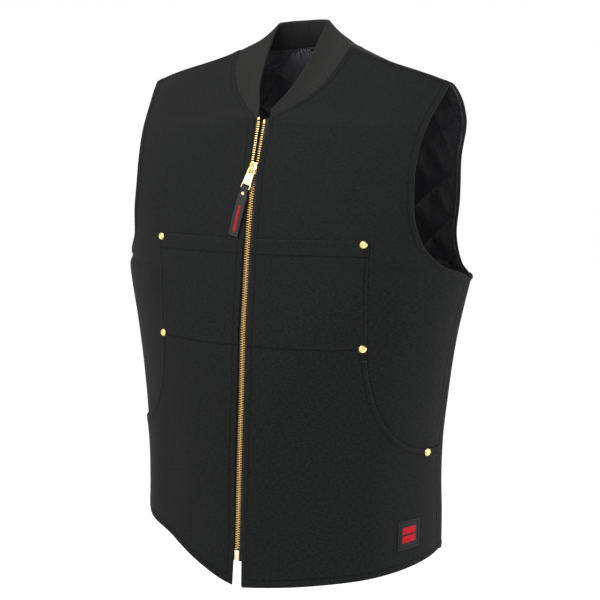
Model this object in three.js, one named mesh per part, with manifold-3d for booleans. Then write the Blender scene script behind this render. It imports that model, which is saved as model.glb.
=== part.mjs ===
// Insulated canvas work vest in its worn form, zipped almost to the top, with a rib-knit collar.
// Millimetres. +Z is up, the front faces -Y and +X is the wearer's left.
// The origin is on the centre plane, at the height where the shoulder seams meet the collar.
import * as THREE from 'three';
import { mergeVertices } from 'three/addons/utils/BufferGeometryUtils.js';
import loadManifold from 'manifold-3d';

const { MathUtils, Vector2, Vector3 } = THREE;
const wasm = await loadManifold();
wasm.setup();

// Thickness of each cloth layer, as distances outward from the shell's inner face.
const LAYERS = {
  lining: { inner: -4.7, outer: -0.7 },
  zipTape: { inner: -1.5, outer: -0.7 },
  zipRow: { inner: -0.9, outer: 1.3 },
  shell: { inner: 0, outer: 1.3 },
  pocket: { inner: 2.2, outer: 3.4 },
  label: { inner: 4.0, outer: 5.0 },
};
const SEAM_GAP = 0.4;
const SHOULDER_GAP = 0.9;
const REST_GAP = 0.3;

// Side seam of the wearer's left, [x, y, z] at each level, shared by the front and the back.
const SIDE_SEAM = {
  hem: [220.5, -13, -658],
  skirt: [220, -12, -587],
  hip: [223.5, -12, -517],
  waist: [231, -11, -452],
  pocket: [243.5, -10, -374],
  underarm: [257.5, -8, -298],
};
const SHOULDER_SEAM = { neck: [86.7, 0, 0], tip: [229, 0, -53] };

// Front panel from hem to shoulder. Each level is an arc from the zip or neck edge (inner) to the
// side seam or armhole (outer) that turns through the given angle in plan.
const FRONT = [
  { level: 'hem', inner: [8.7, -154, -706], outer: SIDE_SEAM.hem, turn: 90 },
  { level: 'skirt', inner: [6.5, -147, -600], outer: SIDE_SEAM.skirt, turn: 90 },
  { level: 'hip', inner: [6.5, -142.5, -519], outer: SIDE_SEAM.hip, turn: 90 },
  { level: 'waist', inner: [6.5, -138, -450], outer: SIDE_SEAM.waist, turn: 90 },
  { level: 'pocket', inner: [6.5, -133.5, -372], outer: SIDE_SEAM.pocket, turn: 90 },
  { level: 'underarm', inner: [6.5, -126, -300], outer: SIDE_SEAM.underarm, turn: 90 },
  { level: 'armhole floor', inner: [6.5, -124, -279], outer: [241.5, -49, -279], turn: 70 },
  { level: 'armhole curve', inner: [6.5, -121, -255], outer: [222.5, -66, -252], turn: 61 },
  { level: 'chest', inner: [6.5, -115, -213], outer: [215, -76, -213], turn: 55 },
  { level: 'upper chest', inner: [6.5, -106, -165], outer: [213, -72, -168], turn: 54 },
  { level: 'zip top', inner: [11, -85, -95], outer: [216, -57, -121], turn: 50 },
  { level: 'low neck', inner: [34, -67, -80], outer: [219, -44, -101], turn: 45 },
  { level: 'mid neck', inner: [62, -47, -56], outer: [223, -27, -81], turn: 40 },
  { level: 'high neck', inner: [79, -24, -26], outer: [227, -11, -63], turn: 35 },
  { level: 'shoulder', inner: SHOULDER_SEAM.neck, outer: SHOULDER_SEAM.tip, turn: 30 },
];
const FRONT_LEVELS = { underarm: 5, zipTop: 10 };

// Back panel from hem to shoulder, from the centre back or neck edge to the side seam or armhole.
const BACK = [
  { level: 'hem', inner: [0, 100, -684], outer: SIDE_SEAM.hem, turn: 90 },
  { level: 'skirt', inner: [0, 98, -600], outer: SIDE_SEAM.skirt, turn: 90 },
  { level: 'hip', inner: [0, 99, -519], outer: SIDE_SEAM.hip, turn: 90 },
  { level: 'waist', inner: [0, 101, -450], outer: SIDE_SEAM.waist, turn: 90 },
  { level: 'pocket', inner: [0, 105, -372], outer: SIDE_SEAM.pocket, turn: 90 },
  { level: 'underarm', inner: [0, 108, -300], outer: SIDE_SEAM.underarm, turn: 90 },
  { level: 'armhole floor', inner: [0, 108, -285], outer: [253, 21, -299], turn: 76 },
  { level: 'armhole curve', inner: [0, 108, -262], outer: [230, 38, -284], turn: 66 },
  { level: 'low blade', inner: [0, 107, -205], outer: [216.5, 47, -243], turn: 60 },
  { level: 'blade', inner: [0, 103, -130], outer: [221.5, 45, -202], turn: 58 },
  { level: 'high blade', inner: [0, 88, -50], outer: [225.5, 43.5, -152], turn: 54 },
  { level: 'neck', inner: [0, 68, 6], outer: [233.5, 40, -110], turn: 48 },
  { level: 'low yoke', inner: [34, 62, 6], outer: [235.5, 35, -95], turn: 44 },
  { level: 'mid yoke', inner: [62, 47, 5], outer: [235.5, 27, -80], turn: 40 },
  { level: 'high yoke', inner: [80, 25, 3], outer: [233.5, 13, -63], turn: 35 },
  { level: 'shoulder', inner: SHOULDER_SEAM.neck, outer: SHOULDER_SEAM.tip, turn: 30 },
];
const BACK_LEVELS = { underarm: 5, neck: 11 };

// Levels at which the panels are faceted. Both share the ones along the side seam.
const SIDE_SEAM_STEPS = [0, 0.4, 1, 1.5, 2, 2.5, 3, 3.6, 4.3, 5];
const FRONT_STEPS = [...SIDE_SEAM_STEPS, 6, 7, 8, 9, 9.5, 10, 11, 12, 13, 13.5, 14];
const BACK_STEPS = [...SIDE_SEAM_STEPS, 6, 7, 8, 9, 9.5, 10, 10.5, 11, 12, 13, 14, 14.5, 15];
const FRONT_FACETS = 9;
const BACK_FACETS = 8;

// The wearer's right side hangs a little higher at the shoulder and at the hem.
const RIGHT_LIFT = {
  shoulder: 13, shoulderAcross: [90, 230], shoulderHeights: [-190, -60],
  frontHem: 6, sideHem: 36, frontHemAcross: [40, 150], backHemAcross: [20, 200], hemDepths: [480, 680],
};

// The body leans a little: the chest towards the wearer's right and the hips towards the left.
const SWAY = { chest: -3, chestZ: -360, chestReach: 110, hips: 3, hipDepths: [500, 620], across: [60, 200] };

// The lining stops short of the zip, the neck, the armholes and the hem.
const LINING_INSET = { zip: 12.5, neck: 7, armhole: 2, hemLevels: 0.08 };

// Pocket panel: its outer edge runs straight down from the chest, then curves to the side seam. The
// wearer's right one is seen nearer to the zip.
const POCKET = {
  edgeX: { left: 163, right: 148 }, curveTopZ: -388, seamX: 222.5, seamZ: -518, fullness: 1.75,
  hemLevel: 0.02,
  upperLevels: [4.5, 5, 5.7, 6.4, 7.14], curveRows: 9, innerFacets: 8, outerFacets: 9, crowding: 1.3,
};

// Capped rivets of the pockets, by the place of their centre on the front panel.
const RIVET = { stand: 0.6, radius: 5.4, height: 2.5, rim: 0.8, dimple: 0.5, sides: 14 };
const CAP_SHARES = { shoulderRadius: 0.82, shoulderHeight: 0.78, crownRadius: 0.5, dimpleRadius: 0.3 };
const RIVET_PLACES = {
  chest: { x: 156.4, z: -253.3, besidePocket: true },
  pocket: { x: 158.2, z: -383.7, besidePocket: true },
  side: { x: 218.2, z: -522, besidePocket: false },
};

// Label patch near the hem, in levels of the front panel and fractions of its arc.
const LABEL = { lowLevel: 0.31, highLevel: 0.78, nearArc: 0.7, farArc: 0.83, facets: 4 };

// Rib-knit collar from the zip to the centre back: the seam at the neck and the top edge.
const COLLAR = [
  { at: 'zip', seam: [13, -79.5, -91], top: [9.6, -79, -86] },
  { at: 'low front', seam: [30, -68.5, -81.5], top: [18.5, -63.5, -71] },
  { at: 'front', seam: [46.6, -57, -71], top: [27, -50, -55] },
  { at: 'high front', seam: [67.2, -43, -51], top: [34, -27, -27] },
  { at: 'collarbone', seam: [78, -26, -28], top: [37, -10, -5] },
  { at: 'shoulder seam', seam: [86.7, 0, 0], top: [39.5, 13, 24] },
  { at: 'high yoke', seam: [80, 25, 3], top: [38, 24, 35] },
  { at: 'mid yoke', seam: [62, 47, 5], top: [30, 32, 37] },
  { at: 'low yoke', seam: [34, 62, 6], top: [16.5, 36.5, 38] },
  { at: 'centre back', seam: [0, 68, 6], top: [0, 37.5, 38] },
];
const COLLAR_BAND = {
  halfThickness: 2.2, bow: -1, fullBowWidth: 40, seamLift: 2.5, mostLift: 0.4, stepsPerRow: 2, facets: 5,
};

// Zip: two rows that meet below the slider and part above it.
const ZIP = {
  topZ: -100.5,
  boxTopZ: -657.3,
  boxLength: 14.7,
  sliderZ: -161,
  joinedZ: -163,
  partedZ: -152,
  partedHalf: 2.4,
  topHalf: 2.75,
  rowInner: 0.15,
  rowOuter: 3.55,
  tapeInner: 4.2,
  tapeOuter: 13,
};
const ZIP_STEPS = [-600, -540, -480, -420, -360, -300, -250, -210, -180, -170, -163, -160, -157, -154,
  -151, -140, -125, -112];
const ZIP_BOX = { width: 7.6, back: -1.6, front: 1.9 };
const TOP_STOP = { width: 3.8, length: 5, back: -1.2, front: 1.8, overlap: 0.2 };

// Slider in its own frame: across the zip, up the zip and out from the chest.
const SLIDER = {
  topWidth: 12.4, lowWidth: 9.4, top: 8.5, low: -8, corner: 2.6,
  front: 1.7, frontTop: 3.2, back: -2.9, backTop: -1.7,
  postWidth: 2.6, postLow: 6, postTop: 8.2,
  bridgeWidth: 2.6, bridgeHalf: 6.2, bridgeLeg: 1.6, bridgeUnder: 6.15, bridgeTop: 7.5, bridgeRound: 1,
  sunk: 0.5,
};

// Metal pull, measured down from its hinge, and the webbing tag looped through its slot.
const PULL = {
  hingeOut: 4.75, lean: 17, tilt: 2.5, halfThickness: 0.75,
  barTop: -1, eyeTop: 1, eyeLow: 8, eyeWidth: 7.2, topWidth: 10.6,
  slotTop: 22.5, slotLow: 25.5, slotWidth: 11.6, slotCorner: 0.8, low: 28, lowWidth: 14.8, corner: 1.6,
};
const TAG = {
  width: 14.6, neckWidth: 10.2, flare: [31, 38.5], swing: 0.085,
  ply: 1, clearance: 0.3, round: 0.5, closeBy: 31, end: 91, bend: 4, facets: 8,
};
const TAG_RIVET = { radius: 2.3, height: 1.3, rim: 0.5, dimple: 0.25, sides: 12, down: 34.5 };

// Colour, roughness and metalness of each material.
const FINISHES = {
  canvas: { color: '#2a2b2b', roughness: 0.9, metalness: 0 },
  quilt: { color: '#1c1d1f', roughness: 0.6, metalness: 0 },
  rib: { color: '#373635', roughness: 0.95, metalness: 0 },
  tape: { color: '#1b1b1b', roughness: 0.85, metalness: 0 },
  brass: { color: '#d9b45a', roughness: 0.3, metalness: 1 },
  webbing: { color: '#3d3d3d', roughness: 0.85, metalness: 0 },
  label: { color: '#1e1e1e', roughness: 0.8, metalness: 0 },
};

const materials = {};
for (const [name, finish] of Object.entries(FINISHES)) {
  materials[name] = new THREE.MeshStandardMaterial({ name, ...finish });
}

// Monotone cubic interpolation of a list of numbers. The curve may turn sharply at one corner, and
// it is level at its last value if flatEnd is set.
function monotoneCurve(values, { corner = -1, flatEnd = false } = {}) {
  const steps = values.slice(1).map((value, i) => value - values[i]);
  const smoothSlopes = values.map((_, i) => {
    const before = steps[i - 1] ?? steps[0];
    const after = steps[i] ?? (flatEnd ? 0 : steps.at(-1));
    return before * after > 0 ? (2 * before * after) / (before + after) : 0;
  });
  return (t) => {
    const i = Math.min(Math.floor(t), values.length - 2);
    const u = t - i;
    const rise = steps[i];
    const start = i === corner ? rise : smoothSlopes[i];
    const end = i + 1 === corner ? rise : smoothSlopes[i + 1];
    return values[i] + rise * u + u * (1 - u) * ((1 - u) * (start - rise) - u * (end - rise));
  };
}

// Curve of points through the [x, y, z] lists found under a key of each row.
function pointCurve(rows, key, { corner, flatTop = false } = {}) {
  const axes = [0, 1, 2].map((axis) => {
    const values = rows.map((row) => row[key][axis]);
    return monotoneCurve(values, { corner, flatEnd: flatTop && axis === 2 });
  });
  return (t) => new Vector3(...axes.map((curve) => curve(t)));
}

// Leans the body sideways by a small amount, which fades out towards the zip and the centre back.
function lean(point) {
  const chest = SWAY.chest * Math.exp(-(((point.z - SWAY.chestZ) / SWAY.chestReach) ** 2));
  const hips = SWAY.hips * MathUtils.smoothstep(-point.z, ...SWAY.hipDepths);
  point.x += (chest + hips) * MathUtils.smoothstep(Math.abs(point.x), ...SWAY.across);
  return point;
}

// Raises the wearer's right shoulder tip and hem, by a smooth amount.
function settle(point, isFront) {
  if (point.x >= 0) return lean(point);
  const out = -point.x;
  const { shoulderAcross, shoulderHeights, frontHemAcross, backHemAcross, hemDepths } = RIGHT_LIFT;
  const hemAcross = isFront ? frontHemAcross : backHemAcross;
  const high = MathUtils.smoothstep(point.z, ...shoulderHeights);
  const shoulder = high * MathUtils.smoothstep(out, ...shoulderAcross);
  const atCentre = isFront ? RIGHT_LIFT.frontHem : 0;
  const hem = MathUtils.lerp(atCentre, RIGHT_LIFT.sideHem, MathUtils.smoothstep(out, ...hemAcross));
  point.z += RIGHT_LIFT.shoulder * shoulder + hem * MathUtils.smoothstep(-point.z, ...hemDepths);
  return lean(point);
}

// Surface of a panel: at(level, arc) for the wearer's left (side 1) or right (side -1).
function panelSurface(rows, side) {
  const isFront = rows === FRONT;
  const corner = isFront ? FRONT_LEVELS.zipTop : BACK_LEVELS.neck;
  const inner = pointCurve(rows, 'inner', { corner, flatTop: true });
  const outer = pointCurve(rows, 'outer', { flatTop: true });
  const turn = monotoneCurve(rows.map((row) => MathUtils.degToRad(row.turn)));
  const at = (level, arc) => {
    const [a, b, full] = [inner(level), outer(level), turn(level)];
    const along = Math.sin(arc * full) / Math.sin(full);
    const round = (1 - Math.cos(arc * full)) / (1 - Math.cos(full));
    const x = MathUtils.lerp(a.x, b.x, along);
    const y = MathUtils.lerp(a.y, b.y, round);
    return settle(new Vector3(side * x, y, MathUtils.lerp(a.z, b.z, arc)), isFront);
  };
  return { at, levels: rows.length - 1, outward: isFront ? side : -side };
}

// Unit normal of a surface that faces away from the body.
function outwardNormal(surface, level, arc) {
  const step = 1e-3;
  const across = surface.at(level, Math.min(1, arc + step)).sub(surface.at(level, Math.max(0, arc - step)));
  const up = surface.at(Math.min(surface.levels, level + step), arc);
  up.sub(surface.at(Math.max(0, level - step), arc));
  return across.cross(up).normalize().multiplyScalar(surface.outward);
}

function arcLength(surface, level) {
  const samples = 12;
  let length = 0;
  for (let i = 0; i < samples; i += 1) {
    length += surface.at(level, i / samples).distanceTo(surface.at(level, (i + 1) / samples));
  }
  return length;
}

// Open sheet of points with normals and faces, which can be made a closed solid.
class Sheet {
  constructor() {
    this.points = [];
    this.normals = [];
    this.faces = [];
    this.indices = new Map();
  }

  vertex(point, normal) {
    const key = point.toArray().map((value) => Math.round(value * 1e3)).join();
    if (!this.indices.has(key)) {
      this.indices.set(key, this.points.length);
      this.points.push(point);
      this.normals.push(normal);
    }
    return this.indices.get(key);
  }

  // Adds a grid given as rows of [point, normal] pairs. Outward is 1 where across by up points out.
  addGrid(rows, outward = 1) {
    const ids = rows.map((row) => row.map(([point, normal]) => this.vertex(point, normal)));
    for (let i = 0; i + 1 < ids.length; i += 1) {
      for (let j = 0; j + 1 < ids[i].length; j += 1) {
        const [a, b, c, d] = [ids[i][j], ids[i][j + 1], ids[i + 1][j + 1], ids[i + 1][j]];
        this.faces.push(...(outward > 0 ? [[a, b, c], [a, c, d]] : [[a, c, b], [a, d, c]]));
      }
    }
    return this;
  }

  // Closed solid between two distances along the normals, with walls at the free edges.
  thicken({ inner, outer }) {
    const count = this.points.length;
    const offset = (distance) => this.points.map((point, i) => (
      point.clone().addScaledVector(this.normals[i], distance)
    ));
    const vertices = [...offset(outer), ...offset(inner)];
    const edges = new Set(this.faces.flatMap(([a, b, c]) => [`${a},${b}`, `${b},${c}`, `${c},${a}`]));
    const triangles = [];
    for (const [a, b, c] of this.faces) {
      triangles.push(a, b, c, a + count, c + count, b + count);
      for (const [from, to] of [[a, b], [b, c], [c, a]]) {
        if (edges.has(`${to},${from}`)) continue;
        triangles.push(to, from, from + count, to, from + count, to + count);
      }
    }
    const geometry = new THREE.BufferGeometry().setFromPoints(vertices);
    geometry.setIndex(triangles);
    geometry.computeVertexNormals();
    return geometry;
  }
}

// Grid of a panel between two arcs, which may depend on the level.
function panelGrid(surface, levels, facets, arcLow, arcHigh) {
  return levels.map((level) => {
    const [low, high] = [arcLow(level), arcHigh(level)];
    const arcs = Array.from({ length: facets + 1 }, (_, j) => MathUtils.clamp(j / facets, low, high));
    return arcs.map((arc) => onPanel(surface, { level, arc }));
  });
}

// Levels with the last one pulled back from the shoulder seam.
function belowShoulder(levels, surface) {
  const [step, middle] = [0.05, 0.5];
  const below = surface.at(surface.levels - step, middle);
  const drop = (SHOULDER_GAP * step) / surface.at(surface.levels, middle).distanceTo(below);
  return [...levels.slice(0, -1), levels.at(-1) - drop];
}

function shellGrid(surface, levels, facets) {
  const toSeam = (level) => 1 - SEAM_GAP / arcLength(surface, level);
  return panelGrid(surface, belowShoulder(levels, surface), facets, () => 0, toSeam);
}

function liningGrid(surface, levels, facets, innerInset, seamLevel) {
  const low = (level) => innerInset(level) / arcLength(surface, level);
  const outerInset = (level) => (level > seamLevel ? LINING_INSET.armhole : SEAM_GAP);
  const high = (level) => 1 - outerInset(level) / arcLength(surface, level);
  const raised = [LINING_INSET.hemLevels, ...levels.slice(1)];
  return panelGrid(surface, belowShoulder(raised, surface), facets, low, high);
}

const fronts = { left: panelSurface(FRONT, 1), right: panelSurface(FRONT, -1) };
const backs = { left: panelSurface(BACK, 1), right: panelSurface(BACK, -1) };
const SIDES = { left: 1, right: -1 };

function frontShell(side) {
  const grid = shellGrid(fronts[side], FRONT_STEPS, FRONT_FACETS);
  return new Sheet().addGrid(grid, fronts[side].outward).thicken(LAYERS.shell);
}

function backShell() {
  const sheet = new Sheet();
  for (const half of Object.values(backs)) {
    sheet.addGrid(shellGrid(half, BACK_STEPS, BACK_FACETS), half.outward);
  }
  return sheet.thicken(LAYERS.shell);
}

function frontLining(side) {
  const inset = (level) => (level > FRONT_LEVELS.zipTop ? LINING_INSET.neck : LINING_INSET.zip);
  const grid = liningGrid(fronts[side], FRONT_STEPS, FRONT_FACETS, inset, FRONT_LEVELS.underarm);
  return new Sheet().addGrid(grid, fronts[side].outward).thicken(LAYERS.lining);
}

function backLining() {
  const sheet = new Sheet();
  const inset = (level) => (level > BACK_LEVELS.neck ? LINING_INSET.neck : 0);
  for (const half of Object.values(backs)) {
    sheet.addGrid(liningGrid(half, BACK_STEPS, BACK_FACETS, inset, BACK_LEVELS.underarm), half.outward);
  }
  return sheet.thicken(LAYERS.lining);
}

// Value between two limits at which a rising function crosses zero.
function bisect(rising, low, high) {
  const halvings = 40;
  for (let i = 0; i < halvings; i += 1) {
    const middle = (low + high) / 2;
    if (rising(middle) > 0) high = middle;
    else low = middle;
  }
  return (low + high) / 2;
}

// Level and arc of the left front panel at a distance from the centre plane and a height.
function placeOnFront({ x, z }) {
  const rounds = 30;
  let [level, arc] = [FRONT_LEVELS.underarm, 0.5];
  for (let i = 0; i < rounds; i += 1) {
    const atLevel = level;
    arc = bisect((s) => fronts.left.at(atLevel, s).x - x, 0, 1);
    const atArc = arc;
    level = bisect((t) => fronts.left.at(t, atArc).z - z, 0, FRONT_LEVELS.zipTop);
  }
  return { level, arc };
}

// Place on a side's curved pocket mouth, from its top (0) to the side seam (1).
function pocketMouth(side, share) {
  const power = 2 / POCKET.fullness;
  const angle = (share * Math.PI) / 2;
  const across = 1 - Math.cos(angle) ** power;
  const down = Math.sin(angle) ** power;
  return placeOnFront({
    x: MathUtils.lerp(POCKET.edgeX[side], POCKET.seamX, across),
    z: MathUtils.lerp(POCKET.curveTopZ, POCKET.seamZ, down),
  });
}

function onPanel(surface, { level, arc }) {
  return [surface.at(level, arc), outwardNormal(surface, level, arc)];
}

// The panel is gridded in two: beside the zip up to the chest, and below the curved mouth.
function pocketPanel(side) {
  const surface = fronts[side];
  const mouthTop = pocketMouth(side, 0).level;
  const lowLevels = Array.from({ length: POCKET.curveRows + 1 }, (_, i) => (
    MathUtils.lerp(POCKET.hemLevel, mouthTop, i / POCKET.curveRows)
  ));
  const edgeArc = (level) => bisect((arc) => fronts.left.at(level, arc).x - POCKET.edgeX[side], 0, 1);
  const besideZip = [...lowLevels, ...POCKET.upperLevels].map((level) => {
    const low = SEAM_GAP / arcLength(surface, level);
    return Array.from({ length: POCKET.innerFacets + 1 }, (_, j) => {
      const arc = MathUtils.lerp(low, edgeArc(level), j / POCKET.innerFacets);
      return onPanel(surface, { level, arc });
    });
  });
  const mouths = Array.from({ length: POCKET.outerFacets + 1 }, (_, j) => (
    pocketMouth(side, 1 - (1 - j / POCKET.outerFacets) ** POCKET.crowding)
  ));
  const seamArc = 1 - SEAM_GAP / arcLength(surface, POCKET.hemLevel);
  const belowMouth = lowLevels.map((straight, i) => mouths.map((mouth) => {
    const span = (mouth.arc - mouths[0].arc) / (mouths.at(-1).arc - mouths[0].arc);
    const level = MathUtils.lerp(POCKET.hemLevel, mouth.level, i / POCKET.curveRows);
    return onPanel(surface, { level, arc: MathUtils.lerp(edgeArc(straight), seamArc, span) });
  }));
  const sheet = new Sheet().addGrid(besideZip, surface.outward).addGrid(belowMouth, surface.outward);
  return sheet.thicken(LAYERS.pocket);
}

function labelPatch() {
  const count = LABEL.facets;
  const grid = Array.from({ length: count + 1 }, (_, i) => {
    const level = MathUtils.lerp(LABEL.lowLevel, LABEL.highLevel, i / count);
    return Array.from({ length: count + 1 }, (_unused, j) => {
      const arc = MathUtils.lerp(LABEL.nearArc, LABEL.farArc, j / count);
      return onPanel(fronts.left, { level, arc });
    });
  });
  return new Sheet().addGrid(grid).thicken(LAYERS.label);
}

// Half of the collar: at(row, across) runs from the zip to the centre back and from seam to top.
function collarHalf(side) {
  const [seam, top] = [pointCurve(COLLAR, 'seam'), pointCurve(COLLAR, 'top')];
  const last = COLLAR.length - 1;
  const step = 0.01;
  const at = (row, across) => {
    const [low, high] = [seam(row), top(row)];
    const width = low.distanceTo(high);
    const along = seam(Math.min(last, row + step)).sub(seam(Math.max(0, row - step)));
    const out = along.cross(high.clone().sub(low)).normalize();
    const lift = Math.min(COLLAR_BAND.mostLift, COLLAR_BAND.seamLift / width);
    const share = MathUtils.lerp(lift, 1, across);
    const bow = COLLAR_BAND.bow * Math.min(1, width / COLLAR_BAND.fullBowWidth) * Math.sin(Math.PI * share);
    const point = low.lerp(high, share).addScaledVector(out, bow);
    return row > last - 1e-9 ? point.setX(0) : point.multiply(new Vector3(side, 1, 1));
  };
  return { at, levels: last, outward: -side };
}

function collar() {
  const sheet = new Sheet();
  const rows = (COLLAR.length - 1) * COLLAR_BAND.stepsPerRow;
  for (const side of Object.values(SIDES)) {
    const half = collarHalf(side);
    const grid = Array.from({ length: rows + 1 }, (_, i) => {
      const row = i / COLLAR_BAND.stepsPerRow;
      return Array.from({ length: COLLAR_BAND.facets + 1 }, (_unused, j) => {
        const across = j / COLLAR_BAND.facets;
        const normal = outwardNormal(half, row, across);
        if (i === rows) normal.setX(0).normalize();
        return [half.at(row, across), normal];
      });
    });
    sheet.addGrid(grid, half.outward);
  }
  return sheet.thicken({ inner: -COLLAR_BAND.halfThickness, outer: COLLAR_BAND.halfThickness });
}

// Distance of each zip row from the centre plane at a height: none below the slider.
function zipParting(z) {
  const atSlider = ZIP.partedHalf * MathUtils.smoothstep(z, ZIP.joinedZ, ZIP.partedZ);
  const above = MathUtils.clamp((z - ZIP.partedZ) / (ZIP.topZ - ZIP.partedZ), 0, 1);
  return atSlider + (ZIP.topHalf - ZIP.partedHalf) * above;
}

// Place on the zip's centre line at a height, with its directions up the zip and out from the chest.
const zipLine = pointCurve(FRONT, 'inner', { corner: FRONT_LEVELS.zipTop });
function zipFrame(z) {
  const level = bisect((t) => zipLine(t).z - z, 0, FRONT_LEVELS.zipTop);
  const step = 0.02;
  const above = zipLine(Math.min(level + step, FRONT_LEVELS.zipTop));
  const up = above.sub(zipLine(Math.max(0, level - step))).setX(0).normalize();
  const out = new Vector3(1, 0, 0).cross(up).normalize();
  return { point: zipLine(level).setX(0), up, out };
}

// Strip along one side of the zip between two distances from that side's row line.
function zipStrip(side, from, to, heights, layer) {
  const grid = heights.map((z) => {
    const { point, out } = zipFrame(z);
    return [from, to].map((x) => [point.clone().setX(side * (zipParting(z) + x)), out]);
  });
  return new Sheet().addGrid(grid, side).thicken(layer);
}

function zipRow(side) {
  const heights = [ZIP.boxTopZ + REST_GAP, ...ZIP_STEPS, ZIP.topZ];
  return zipStrip(side, ZIP.rowInner, ZIP.rowOuter, heights, LAYERS.zipRow);
}

function zipTape(side) {
  const heights = [ZIP.boxTopZ - ZIP.boxLength, ZIP.boxTopZ, ...ZIP_STEPS, ZIP.topZ + TOP_STOP.length];
  return zipStrip(side, ZIP.tapeInner, ZIP.tapeOuter, heights, LAYERS.zipTape);
}

// Group whose axes are across the zip, up the zip and out from the chest at a height.
function zipGroup(z, x = 0) {
  const { point, up, out } = zipFrame(z);
  const group = new THREE.Group();
  group.position.copy(point).setX(x);
  group.quaternion.setFromRotationMatrix(new THREE.Matrix4().makeBasis(new Vector3(1, 0, 0), up, out));
  return group;
}

function block(width, length, back, front) {
  return new THREE.BoxGeometry(width, length, front - back).translate(0, 0, (front + back) / 2);
}

function extruded(shape, low, high, curveSegments = 4) {
  const depth = high - low;
  return new THREE.ExtrudeGeometry(shape, { depth, curveSegments, bevelEnabled: false }).translate(0, 0, low);
}

// Closed solid for joining and cutting, from a three.js geometry.
function toSolid(geometry) {
  const bare = geometry.index ? geometry.toNonIndexed() : geometry.clone();
  for (const name of ['normal', 'uv']) bare.deleteAttribute(name);
  const merged = mergeVertices(bare, 1e-4);
  const vertProperties = new Float32Array(merged.attributes.position.array);
  const triVerts = new Uint32Array(merged.index.array);
  return new wasm.Manifold(new wasm.Mesh({ numProp: 3, vertProperties, triVerts }));
}

function fromSolid(solid) {
  const { vertProperties, triVerts } = solid.getMesh();
  const geometry = new THREE.BufferGeometry();
  geometry.setAttribute('position', new THREE.BufferAttribute(new Float32Array(vertProperties), 3));
  geometry.setIndex(Array.from(triVerts));
  geometry.computeVertexNormals();
  return geometry;
}

// Plate outline that narrows downward, with its four corners cut.
function sliderOutline() {
  const [top, low, cut] = [SLIDER.topWidth / 2, SLIDER.lowWidth / 2, SLIDER.corner];
  return new THREE.Shape([
    [-top + cut, SLIDER.top], [-top, SLIDER.top - cut], [-low, SLIDER.low + cut], [-low + cut, SLIDER.low],
    [low - cut, SLIDER.low], [low, SLIDER.low + cut], [top, SLIDER.top - cut], [top - cut, SLIDER.top],
  ].map(([x, y]) => new Vector2(x, y)));
}

// Turns a side view, drawn up the zip and out from the chest, to run across the zip.
const sideToAcross = new THREE.Matrix4().makeBasis(
  new Vector3(0, 1, 0),
  new Vector3(0, 0, 1),
  new Vector3(1, 0, 0),
);

// Arch that keeps the pull's upper bar on the slider, with its feet sunk in the front plate.
function sliderBridge() {
  const { bridgeHalf: half, bridgeLeg: leg, bridgeUnder: under, bridgeTop: top } = SLIDER;
  const foot = SLIDER.frontTop - SLIDER.sunk;
  const spring = under - SLIDER.sunk;
  const crown = half - leg - SLIDER.bridgeRound;
  const arch = new THREE.Shape();
  arch.moveTo(-half, foot).lineTo(-half, spring).quadraticCurveTo(-half, top, -crown, top);
  arch.lineTo(crown, top).quadraticCurveTo(half, top, half, spring).lineTo(half, foot);
  arch.lineTo(half - leg, foot).lineTo(half - leg, under);
  arch.lineTo(-half + leg, under).lineTo(-half + leg, foot).closePath();
  const halfWidth = SLIDER.bridgeWidth / 2;
  return extruded(arch, -halfWidth, halfWidth).applyMatrix4(sideToAcross);
}

// Two plates with the zip rows between them, the post that parts the rows, and the pull's bridge.
function slider() {
  const { sunk } = SLIDER;
  const postLength = SLIDER.postTop - SLIDER.postLow;
  const postMiddle = (SLIDER.postTop + SLIDER.postLow) / 2;
  const post = block(SLIDER.postWidth, postLength, SLIDER.backTop - sunk, SLIDER.front + sunk);
  return fromSolid(
    toSolid(extruded(sliderOutline(), SLIDER.front, SLIDER.frontTop))
      .add(toSolid(extruded(sliderOutline(), SLIDER.back, SLIDER.backTop)))
      .add(toSolid(post.translate(0, postMiddle, 0)))
      .add(toSolid(sliderBridge())),
  );
}

// Adds a rectangle with rounded corners to a path.
function roundedRectangle(path, halfWidth, low, high, radius) {
  path.moveTo(-halfWidth + radius, low).lineTo(halfWidth - radius, low);
  path.quadraticCurveTo(halfWidth, low, halfWidth, low + radius).lineTo(halfWidth, high - radius);
  path.quadraticCurveTo(halfWidth, high, halfWidth - radius, high).lineTo(-halfWidth + radius, high);
  path.quadraticCurveTo(-halfWidth, high, -halfWidth, high - radius).lineTo(-halfWidth, low + radius);
  path.quadraticCurveTo(-halfWidth, low, -halfWidth + radius, low);
  return path;
}

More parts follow.
